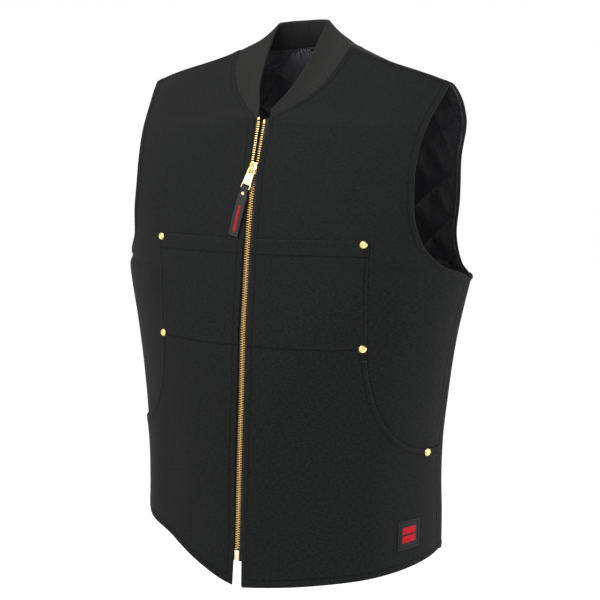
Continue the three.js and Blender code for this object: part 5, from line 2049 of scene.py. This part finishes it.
@dataclass
class LabelPatch:
    """Woven label near the hem of the wearer's left front, with two plain red bars."""

    pocket: PocketPanel
    levels: tuple[float, float] = (0.325, 0.795)
    arcs: tuple[float, float] = (0.677, 0.807)
    thickness: float = 0.9
    gap: float = 0.05
    rows: int = 24
    edge_radius: float = 0.7
    stitch_inset: float = 3.0
    stitch_depth: float = 0.25
    stitch_width: float = 0.9
    bars: tuple[tuple[float, float, float, float], ...] = ((0.2, 0.8, 0.53, 0.76), (0.2, 0.8, 0.24, 0.47))

    def seat(self, level: Array, arc: Array) -> Array:
        """Distance of the label's back from the shell's inner face."""
        return self.pocket.relief(self.pocket.panel.flat(level, arc)).outer + self.gap

    def build(self, run: StitchRun) -> None:
        """Makes the label and its stitched border.

        Args:
            run: Stitches to add to.
        """
        panel = self.pocket.panel
        shares = np.concatenate([[0, 0.006, 0.02], np.linspace(0.05, 0.95, self.rows), [0.98, 0.994, 1]])
        level, arc = np.meshgrid(lerp(*self.levels, shares), lerp(*self.arcs, shares), indexing="ij")
        sides = [panel.from_inner(level, np.full_like(arc, end)) for end in self.arcs]
        ends = [panel.from_hem(np.full_like(level, end), arc) for end in self.levels]
        wide, tall = sides[1] - sides[0], ends[1] - ends[0]
        s, t = np.meshgrid(shares, shares)
        flat = np.stack([s * wide, t * tall], -1).reshape(-1, 2)
        edge = np.minimum.reduce([s * wide, (1 - s) * wide, t * tall, (1 - t) * tall]).ravel()
        faces = grid_faces(*level.shape, panel.outward)
        level, arc = level.ravel(), arc.ravel()
        seat, share, middle = self.seat(level, arc), rounded(edge, self.edge_radius), self.thickness / 2
        furrow = hump(edge - self.stitch_inset, self.stitch_width)
        outer = seat + middle + (middle - self.stitch_depth * furrow) * share
        # The stitched furrow gets painted shade in the point attribute, which the label's woven finish
        # doesn't read.
        relief = Relief(outer, seat + middle * (1 - share), -0.2 * furrow)
        piece = ClothMesh(*panel.hung(level, arc), faces, flat).build("label_woven", relief)
        w, h = float(wide.mean()), float(tall.mean())
        bars = tuple((w * x0, w * x1, h * y0, h * y1) for x0, x1, y0, y1 in self.bars)
        finish = WovenBand("label_woven_damask", "#1f1f20", 1.2, bars, "#950f17")
        finish_piece(piece, finish, Body.VEST, Slot.LABEL, "label_patch")
        x, y = self.stitch_inset / w, self.stitch_inset / h
        corners = np.array([(x, y), (1 - x, y), (1 - x, 1 - y), (x, 1 - y), (x, y)])
        for a, b in zip(corners, corners[1:]):
            line = lerp(a, b, np.linspace(0, 1, 30)[:, None])
            level, arc = lerp(*self.levels, line[:, 1]), lerp(*self.arcs, line[:, 0])
            points, out = panel.hung(level, arc)
            height = self.seat(level, arc) + self.thickness - self.stitch_depth
            run.add(points + out * height[:, None], out)


@dataclass
class ZipLine:
    """Centre line of the front zip, with the two rows that meet below the slider and part above it."""

    top_z: float = -100.5
    box_top_z: float = -657.3
    box_length: float = 14.7
    slider_z: float = -161.0
    joined_z: float = -163.0
    parted_z: float = -152.0
    parted_half: float = 2.4
    top_half: float = 2.75
    right_rise: float = 3.5

    def __post_init__(self) -> None:
        """Samples the line from the hem to the top of the zip."""
        self.points = PointCurve(FRONT_CUT.inner, FRONT_CUT.corner)(np.linspace(0, FRONT_CUT.corner, 4001))
        self.points[:, 0] = 0.0

    def top(self, side: Side) -> float:
        """Height of the top of a row, which is higher on the wearer's right."""
        return self.top_z + (self.right_rise if side is Side.RIGHT else 0.0)

    def parting(self, z: Array) -> Array:
        """Distance of each row from the centre plane at heights."""
        at_slider = self.parted_half * smoothstep(z, self.joined_z, self.parted_z)
        above = np.clip((z - self.parted_z) / (self.top_z - self.parted_z), 0, 1)
        return at_slider + (self.top_half - self.parted_half) * above

    def frames(self, z: Array) -> tuple[Array, Array, Array]:
        """Points of the line at heights, with its directions up the zip and out from the chest."""
        z, step = np.asarray(z, float), 1.5
        heights = (z, z + step, z - step)
        points, above, below = (points_along(h, self.points[:, 2], self.points) for h in heights)
        up = unit(above - below)
        return points, up, unit(np.cross(ACROSS, up))


@dataclass
class FrontZip:
    """Brass zip: teeth on woven tapes, with stops, a box and the slider."""

    line: ZipLine
    pitch: float = 3.15
    tooth_length: float = 1.15
    tape_inner: float = 0.15
    tape_outer: float = 13.0
    tape_back: float = -1.5
    tape_front: float = -0.75
    tape_rise: float = 0.8
    tape_shares: tuple[float, ...] = (
        0.0, 0.008, 0.03, 0.08, 0.14, 0.22, 0.3, 0.45, 0.6, 0.75, 0.9, 0.97, 0.992, 1.0,
    )

    def tooth(self) -> tuple[Array, list[tuple[int, ...]]]:
        """Models one tooth: a clamped body with a narrower nose that reaches past the centre.

        Returns:
            Its points, with the nose towards -X, and its faces.
        """
        piece = Bench.cube("tooth", (2.7, self.tooth_length, 2.3), (2.25, 0, 0.2))
        with Bench.editing():
            Bench.pick(piece, "FACE", lambda place, normal: normal.x < -0.9)
            Bench.push((-1.6, 0, 0))
            bpy.ops.transform.resize(value=(1, 0.66, 0.7))
            Bench.pick(piece, "FACE", lambda place, normal: normal.x > 0.9)
            bpy.ops.transform.resize(value=(1, 0.8, 0.85))
        Bench.bevel(piece, 0.2, 1, 20.0)
        points = np.array([v.co[:] for v in piece.data.vertices]) / MM
        faces = [tuple(p.vertices) for p in piece.data.polygons]
        bpy.data.objects.remove(piece)
        return points, faces

    def build_row(self, side: Side, tooth: tuple[Array, list[tuple[int, ...]]]) -> None:
        """Makes one row of teeth as a joined piece.

        Args:
            side: Which row.
            tooth: Points and faces of one tooth.
        """
        line = self.line
        fine = np.linspace(line.box_top_z + 0.6, line.top(side) - 0.4, 3000)
        path, _, _ = line.frames(fine)
        path[:, 0] = side.value * line.parting(fine)
        run = lengths_along(path)
        shift = 0.5 if side is Side.LEFT else 0.0
        count = int(run[-1] / self.pitch - shift + 0.3)
        zs = np.interp((np.arange(count) + 0.4 + shift) * self.pitch, run, fine)
        origin, up, out = line.frames(zs)
        origin[:, 0] = side.value * line.parting(zs)
        lean = (line.parting(zs + 1) - line.parting(zs - 1)) / 2 * side.value
        up = unit(up + lean[:, None] * ACROSS)
        across = unit(np.cross(up, out)) * side.value
        shape, faces = tooth
        points = origin[:, None] + sum(
            shape[:, k:k + 1] * way[:, None] for k, way in enumerate((across, up, out))
        )
        turned = [f[::side.value] for f in faces]
        every = [tuple(i + len(shape) * k for i in f) for k in range(count) for f in turned]
        name = f"zip_teeth_{side.word}"
        piece = new_object(name, new_mesh(name, points.reshape(-1, 3), every))
        Bench.smooth(piece, 30.0)
        finish_piece(piece, BRASS, Body.VEST, Slot.BRASS, f"zip_row_{side.word}")

    def build_tape(self, side: Side) -> None:
        """Makes one woven tape with the corded edge that carries the teeth.

        Args:
            side: Which tape.
        """
        line = self.line
        zs = np.linspace(line.box_top_z - line.box_length, line.top_z + 5.0, 150)
        across = lerp(self.tape_inner, self.tape_outer, np.array(self.tape_shares))
        points, _, out = line.frames(zs)
        base = np.repeat(points[:, None], len(across), 1)
        base[..., 0] = side.value * (line.parting(zs)[:, None] + across)
        normals = np.repeat(out, len(across), 0)
        run = lengths_along(points)
        flat = np.stack(np.broadcast_arrays(across, run[:, None]), -1)
        cord = 0.5 * hump(across - self.tape_inner - 0.9, 0.8)
        edge = np.minimum(across - across[0], across[-1] - across)
        share = rounded(np.minimum(edge, np.minimum(run, run[-1] - run)[:, None]), 0.4)
        rise = self.tape_rise * (1 - smoothstep(across, 3.2, 5.6))
        middle = (self.tape_back + self.tape_front) / 2 + rise
        half = (self.tape_front - self.tape_back) / 2
        outer, inner = middle + (half + cord) * share, middle - half * share
        faces = grid_faces(len(zs), len(across), side.value)
        sheet = ClothMesh(base.reshape(-1, 3), normals, faces, flat.reshape(-1, 2))
        relief = Relief(outer.ravel(), inner.ravel(), np.zeros(outer.size))
        piece = sheet.build(f"zip_tape_woven_{side.word}", relief)
        finish_piece(piece, TAPE, Body.VEST, Slot.TAPE, f"zip_tape_{side.word}")

    def seat(self, piece: bpy.types.Object, z: float, x: float = 0.0) -> None:
        """Puts a piece on the zip line at a height, its X across, Y up the zip and Z out."""
        point, up, out = self.line.frames(np.array(z))
        Bench.put(piece, ACROSS, up, out, point + x * ACROSS)

    def build_stop(self, side: Side) -> None:
        """Makes one top stop, a strip of brass pinched round the tape's cord."""
        piece = Bench.cube(f"zip_top_stop_{side.word}", (3.0, 3.4, 2.7), (0, 0, 0.3))
        with Bench.editing():
            Bench.pick(piece, "FACE", lambda place, normal: normal.z > 0.9)
            bpy.ops.mesh.inset(thickness=0.5 * MM, depth=0.3 * MM)
        Bench.bevel(piece, 1.1, 4)
        Bench.smooth(piece, 60.0)
        self.seat(piece, self.line.top(side) + 1.0, side.value * (self.line.top_half + 1.9))
        finish_piece(piece, BRASS, Body.VEST, Slot.BRASS, f"zip_stop_{side.word}")

    def build_box(self) -> None:
        """Makes the retainer box, with a sunk face and a narrower foot."""
        length = self.line.box_length
        box = Bench.cube("zip_end_box", (7.4, length, 3.3), (0, 0, 0.15))
        with Bench.editing():
            Bench.pick(box, "FACE", lambda place, normal: normal.z > 0.9)
            bpy.ops.mesh.inset(thickness=1.0 * MM, depth=0.0)
            Bench.push((0, 0, -0.35))
            bpy.ops.transform.resize(value=(0.9, 0.95, 1))
            Bench.pick(box, "FACE", lambda place, normal: normal.y < -0.9 and place.y < -length / 2 + 0.1)
            bpy.ops.transform.resize(value=(0.86, 1, 0.85))
        Bench.bevel(box, 0.4, 2)
        Bench.smooth(box, 40.0)
        self.seat(box, self.line.box_top_z - length / 2)
        finish_piece(box, PAINTED_LIGHT_BRASS, Body.VEST, Slot.BRASS, "zip_box")

    @staticmethod
    def plate(name: str, back: float, front: float, sign: int) -> bpy.types.Object:
        """Models one wedge plate of the slider.

        Args:
            name: Name of the plate.
            back: Its back face, out from the zip.
            front: Its front face.
            sign: 1 if its raised face looks out, -1 if it looks in.

        Returns:
            The plate.
        """
        middle = (front + back) / 2
        plate = Bench.cube(name, (12.4, 16.5, front - back), (0, 0.25, middle))

        def is_corner(place: Vector, normal: Vector) -> bool:
            """True for the upright edges at the four corners."""
            return abs(place.x) > 3.5 and abs(place.y) > 7.5 and abs(place.z - middle) < 0.1

        with Bench.editing():
            Bench.pick(plate, "FACE", lambda place, normal: normal.y < -0.9)
            bpy.ops.transform.resize(value=(0.72, 1, 1))
            Bench.pick(plate, "EDGE", is_corner)
            bpy.ops.mesh.bevel(offset=2.4 * MM, segments=4, affect="EDGES")
            Bench.pick(plate, "FACE", lambda place, normal: normal.z * sign > 0.9)
            bpy.ops.mesh.inset(thickness=1.1 * MM, depth=0.45 * MM)
        Bench.bevel(plate, 0.28, 2, 25.0)
        return plate

    @staticmethod
    def flange(sign: int) -> bpy.types.Object:
        """Models one side flange of the slider, which closes in downwards."""
        flange = Bench.cube("flange", (1.0, 8.5, 3.8), (sign * 5.1, -2.6, -0.05))
        with Bench.editing():
            Bench.pick(flange, "FACE", lambda place, normal: normal.y < -0.9)
            bpy.ops.transform.translate(value=(-sign * 0.85 * MM, 0, 0))
        Bench.bevel(flange, 0.25, 2)
        return flange

    @staticmethod
    def bridge() -> bpy.types.Object:
        """Models the bridge that holds the pull, half a flattened ring."""
        Bench.clear()
        bpy.ops.mesh.primitive_torus_add(
            major_segments=32, minor_segments=12, major_radius=4.9 * MM, minor_radius=1.2 * MM,
            rotation=(0, math.pi / 2, 0),
        )
        bpy.ops.object.transform_apply(location=True, rotation=True, scale=True)
        with Bench.editing():
            bpy.ops.mesh.select_all(action="SELECT")
            bpy.ops.mesh.bisect(plane_co=(0, 0, 0.0), plane_no=(0, 0, 1), clear_inner=True, use_fill=True)
            bpy.ops.mesh.select_all(action="SELECT")
            bpy.ops.transform.resize(value=(1.1, 1.0, 0.74))
            bpy.ops.transform.translate(value=(0, 0, 2.9 * MM))
        return bpy.context.object

    def build_slider(self) -> None:
        """Makes the slider: two wedge plates, side flanges, the post and the bridge for the pull."""
        parts = [self.plate("plate_front", 1.7, 3.2, 1), self.plate("plate_back", -2.9, -1.7, -1)]
        parts += [self.flange(1), self.flange(-1)]
        post = Bench.cube("post", (2.6, 2.2, 4.0), (0, 7.1, 0))
        Bench.bevel(post, 0.5, 2)
        parts += [post, self.bridge()]
        slider = parts[0]
        Bench.only(slider)
        for part in parts:
            part.select_set(True)
        bpy.ops.object.join()
        slider.name = slider.data.name = "zip_slider_body"
        Bench.smooth(slider, 40.0)
        self.seat(slider, self.line.slider_z)
        finish_piece(slider, PALE_BRASS, Body.VEST, Slot.BRASS, "zip_slider")


@dataclass
class PullAndTag:
    """Metal pull hung on the slider's bridge, with a webbing tag looped through its slot."""

    line: ZipLine
    hinge_out: float = 4.75
    lean: float = 17.0
    tilt: float = 2.5
    half_thickness: float = 0.75
    edge_radius: float = 0.3
    tag_width: float = 14.6
    neck_width: float = 10.2
    flare: tuple[float, float] = (31.0, 38.5)
    swing: float = 0.085
    ply: float = 0.95
    tag_end: float = 91.0
    tag_bend: float = 4.0
    close_by: float = 31.0
    loop_top: float = 24.4
    loop_radius: float = 1.45
    tag_shares: tuple[float, ...] = (-1, -0.985, -0.93, -0.8, -0.5, 0, 0.5, 0.8, 0.93, 0.985, 1.0)
    rivet_down: float = 34.5
    rivet_profile: tuple[tuple[float, float], ...] = (
        (0, 1.05), (0.5, 1.05), (0.75, 1.2), (1.1, 1.3), (1.6, 1.15), (2.0, 0.82), (2.15, 0.5),
        (2.3, 0.42), (2.3, 0.1), (2.2, -0.6), (0, -0.6),
    )

    def __post_init__(self) -> None:
        """Works out the pull's own directions."""
        point, up, out = self.line.frames(np.array(self.line.slider_z))
        basis = Matrix(np.stack([ACROSS, up, out], 1).tolist())
        lean = Matrix.Rotation(math.radians(-self.lean), 3, "Z")
        axes = np.array(basis @ (lean @ Matrix.Rotation(math.radians(self.tilt), 3, "X")))
        self.across, self.up, self.out = axes[:, 0], axes[:, 1], axes[:, 2]
        self.hinge = point + out * self.hinge_out

    @staticmethod
    def ring(half_top: float, half_low: float, high: float, low: float, corner: float) -> list[Array]:
        """Rounded four-sided ring on the pull, clockwise from the top right.

        Args:
            half_top: Half of its width at the top.
            half_low: Half of its width at the bottom.
            high: Its top.
            low: Its bottom.
            corner: Length of each side that goes into a rounded corner.

        Returns:
            Its points.
        """
        corners = np.array(((half_top, high), (half_low, low), (-half_low, low), (-half_top, high)), float)
        points = []
        for a, b, c in zip(np.roll(corners, 1, 0), corners, np.roll(corners, -1, 0)):
            start, end = b + unit(a - b) * corner, b + unit(c - b) * corner
            for share in np.linspace(0, 1, 6):
                points.append(lerp(lerp(start, b, share), lerp(b, end, share), share))
        return points

    def build_pull(self) -> None:
        """Makes the metal pull from a flat outline with an eye and a slot."""
        edge = self.edge_radius
        rings = (
            self.ring(5.3 - edge, 7.4 - edge, 1.0 - edge, -28.0 + edge, 1.9),
            self.ring(3.6 + edge, 3.6 + edge, -1.0 + edge, -8.0 - edge, 2.2),
            self.ring(5.8 + edge, 5.8 + edge, -22.5 + edge, -25.5 - edge, 0.9),
        )
        curve = bpy.data.curves.new("zip_pull_plate", "CURVE")
        curve.dimensions = "2D"
        curve.fill_mode = "BOTH"
        curve.extrude = (self.half_thickness - edge) * MM
        curve.bevel_depth = edge * MM
        curve.bevel_resolution = 2
        for points in rings:
            spline = curve.splines.new("POLY")
            spline.points.add(len(points) - 1)
            spline.use_cyclic_u = True
            for target, (x, y) in zip(spline.points, points):
                target.co = (x * MM, y * MM, 0.0, 1.0)
        Bench.only(new_object("zip_pull_plate", curve))
        bpy.ops.object.convert(target="MESH")
        piece = bpy.context.object
        with Bench.editing():
            Bench.close(0.002)
        Bench.smooth(piece, 35.0)
        Bench.put(piece, self.across, self.up, self.out, self.hinge)
        finish_piece(piece, PAINTED_LIGHT_BRASS, Body.PULL, Slot.BRASS, "zip_pull")

    def tag_back(self, down: Array) -> Array:
        """How far the tag bends back to the chest at places down the pull."""
        share = np.maximum(0.0, (down - self.close_by) / (self.tag_end - self.close_by))
        return -self.tag_bend * share**2

    def tag_spine(self) -> tuple[Array, Array]:
        """Middle line of the webbing from its front end over the loop to its back end.

        Returns:
            Places up the pull and out from it, and the side that the outer face looks to.
        """
        downs = np.linspace(self.tag_end, self.close_by, 50)
        gap = self.ply / 2 + 0.03
        front = np.stack([-downs, self.tag_back(downs) + gap], 1)
        loop_low = self.loop_top + self.loop_radius
        swell = np.linspace(self.close_by, loop_low, 10)[1:]
        share = smoothstep(self.close_by - swell, 0.0, self.close_by - loop_low)
        rise = np.stack([-swell, lerp(gap, self.loop_radius, share)], 1)
        angles = np.linspace(0, math.pi, 14)[1:-1]
        turn = self.loop_radius * np.stack([np.sin(angles), np.cos(angles)], 1) - [loop_low, 0.0]
        up, out = np.concatenate([rise[::-1], front[::-1]]).T
        back = np.stack([up, np.where(up > -self.close_by, -out, out - 2 * gap)], 1)
        spine = np.concatenate([front, rise, turn, back])
        return spine, -leftward(spine)

    def build_tag(self) -> None:
        """Makes the doubled webbing tag."""
        spine, faced = self.tag_spine()
        run = lengths_along(spine)
        shares = np.array(self.tag_shares)
        half = lerp(self.neck_width, self.tag_width, smoothstep(-spine[:, 0], *self.flare))[:, None] / 2
        across = shares * half
        sideways = self.swing * np.maximum(0.0, -spine[:, :1] - self.close_by)
        centre = self.hinge + self.up * spine[:, :1] + self.out * spine[:, 1:]
        curl = smoothstep(-spine[:, 0], 34.0, 80.0)[:, None] * (0.5 * shares**2)
        base = centre[:, None] + (across + sideways)[..., None] * self.across + curl[..., None] * self.out
        base = base.reshape(-1, 3)
        normals = np.repeat(self.out * faced[:, 1:] + self.up * faced[:, :1], len(shares), 0)
        edge = np.minimum(half - np.abs(across), np.minimum(run, run[-1] - run)[:, None])
        ply = (self.ply / 2 * (1 - 0.12 * hump(edge - 1.2, 0.5)) * rounded(edge, 0.45)).ravel()
        flat = np.stack(np.broadcast_arrays(across, run[:, None]), -1).reshape(-1, 2)
        faces = facing(base, grid_faces(len(spine), len(shares), 1), normals)
        relief = Relief(ply, -ply, np.zeros(edge.size))
        piece = ClothMesh(base, normals, faces, flat).build("pull_tag_webbing", relief)
        finish = WovenBand("tag_webbing_grey", "#2a2a2b", 1.3, ((-1.7, 1.7, 6.0, 41.0),), "#950f17", 0.75)
        finish_piece(piece, finish, Body.PULL, Slot.WEBBING, "pull_tag")

    def build_rivet(self) -> None:
        """Makes the small rivet that closes the tag's loop."""
        piece = Bench.spin("tag_rivet_cap", self.rivet_profile, 28)
        Bench.smooth(piece, 50.0)
        down = self.rivet_down
        sideways = self.across * self.swing * (down - self.close_by)
        height = self.ply + 0.35 + float(self.tag_back(np.array(down)))
        origin = self.hinge - self.up * down + sideways + self.out * height
        Bench.put(piece, self.across, self.up, self.out, origin)
        finish_piece(piece, PALE_BRASS, Body.PULL, Slot.BRASS, "tag_rivet")


@dataclass
class Studio:
    """Camera at the photograph's angle, pale floor and soft light."""

    azimuth: float = 30.0
    elevation: float = 7.194
    lens: float = 73.2
    target: Point = (0.0, 13.44, -344.6)
    distance: float = 1703.7
    floor_z: float = -960.0
    floor_size: float = 14.0

    def camera(self) -> None:
        """Adds the camera."""
        a, e = math.radians(self.azimuth), math.radians(self.elevation)
        back = Vector((math.sin(a) * math.cos(e), -math.cos(a) * math.cos(e), math.sin(e)))
        data = bpy.data.cameras.new("photo_camera")
        data.lens = self.lens
        data.sensor_width = 36.0
        data.sensor_fit = "HORIZONTAL"
        camera = new_object("photo_camera", data)
        camera.location = (Vector(self.target) + back * self.distance) * MM
        camera.rotation_euler = (-back).to_track_quat("-Z", "Y").to_euler()
        bpy.context.scene.camera = camera

    @staticmethod
    def lamp(name: str, place: Point, size: float, power: float, spread: float, target: Point) -> None:
        """Adds a soft square light.

        Args:
            name: Name of the light.
            place: Where it stands, in metres.
            size: Its side, in metres.
            power: Its power in watts.
            spread: Full angle that its light stays in, in degrees.
            target: What it points at, in metres.
        """
        data = bpy.data.lights.new(name, "AREA")
        data.spread = math.radians(spread)
        data.size = size
        data.energy = power
        lamp = new_object(name, data)
        lamp.location = place
        lamp.rotation_euler = (Vector(target) - Vector(place)).to_track_quat("-Z", "Y").to_euler()

    def build(self) -> None:
        """Sets the floor, the lights and the plain view transform."""
        scene = bpy.context.scene
        scene.view_settings.view_transform = "Standard"
        world = bpy.data.worlds.new("studio_white")
        world.use_nodes = True
        background = world.node_tree.nodes["Background"]
        background.inputs["Color"].default_value = srgb("#ffffff")
        background.inputs["Strength"].default_value = 1.0
        scene.world = world
        self.lamp("key_soft", (-0.35, -1.5, 1.1), 1.5, 9.0, 70.0, (0.0, -0.1, -0.05))
        self.lamp("neck_soft", (0.35, -1.9, -0.3), 0.5, 0.26, 16.0, (0.0, 0.0, -0.02))
        self.lamp("rim_soft", (2.1, 0.9, -0.45), 0.9, 45.0, 180.0, (0.2, 0.0, -0.4))
        Bench.clear()
        bpy.ops.mesh.primitive_grid_add(
            x_subdivisions=8, y_subdivisions=8, size=self.floor_size, location=(0, 0, self.floor_z * MM),
        )
        floor = bpy.context.object
        floor.name = "studio_floor"
        bpy.ops.object.transform_apply(location=True, rotation=True, scale=True)
        StudioFloor().dress(floor)


def main() -> None:
    """Builds every sub-assembly in order."""
    logging.basicConfig(level=logging.INFO, format="%(name)s: %(message)s")
    studio = Studio()
    studio.camera()
    drape = Drape()
    fronts = {side: PanelSurface(FRONT_CUT, side, drape) for side in Side}
    backs = {side: PanelSurface(BACK_CUT, side, drape) for side in Side}
    shell = CanvasShell(fronts, backs)
    lining = QuiltedLining(fronts, backs)
    pockets = {side: PocketPanel(fronts[side]) for side in Side}
    for side in Side:
        shell.front(side)
        lining.build_front(side)
        pockets[side].build()
    shell.back()
    lining.build_back()
    RibCollar().build()
    for side in Side:
        run = StitchRun()
        shell.stitch(fronts[side], run)
        pockets[side].stitch(run)
        if side is Side.LEFT:
            LabelPatch(pockets[side]).build(run)
        run.build(f"stitching_front_{side.word}")
    back_run = StitchRun()
    for side in Side:
        shell.stitch(backs[side], back_run)
    back_run.build("stitching_back")
    PocketRivets(pockets).build()
    line = ZipLine()
    front_zip = FrontZip(line)
    tooth = front_zip.tooth()
    for side in Side:
        front_zip.build_row(side, tooth)
        front_zip.build_tape(side)
        front_zip.build_stop(side)
    front_zip.build_box()
    front_zip.build_slider()
    pull = PullAndTag(line)
    pull.build_pull()
    pull.build_tag()
    pull.build_rivet()
    studio.build()


if __name__ == "__main__":
    main()
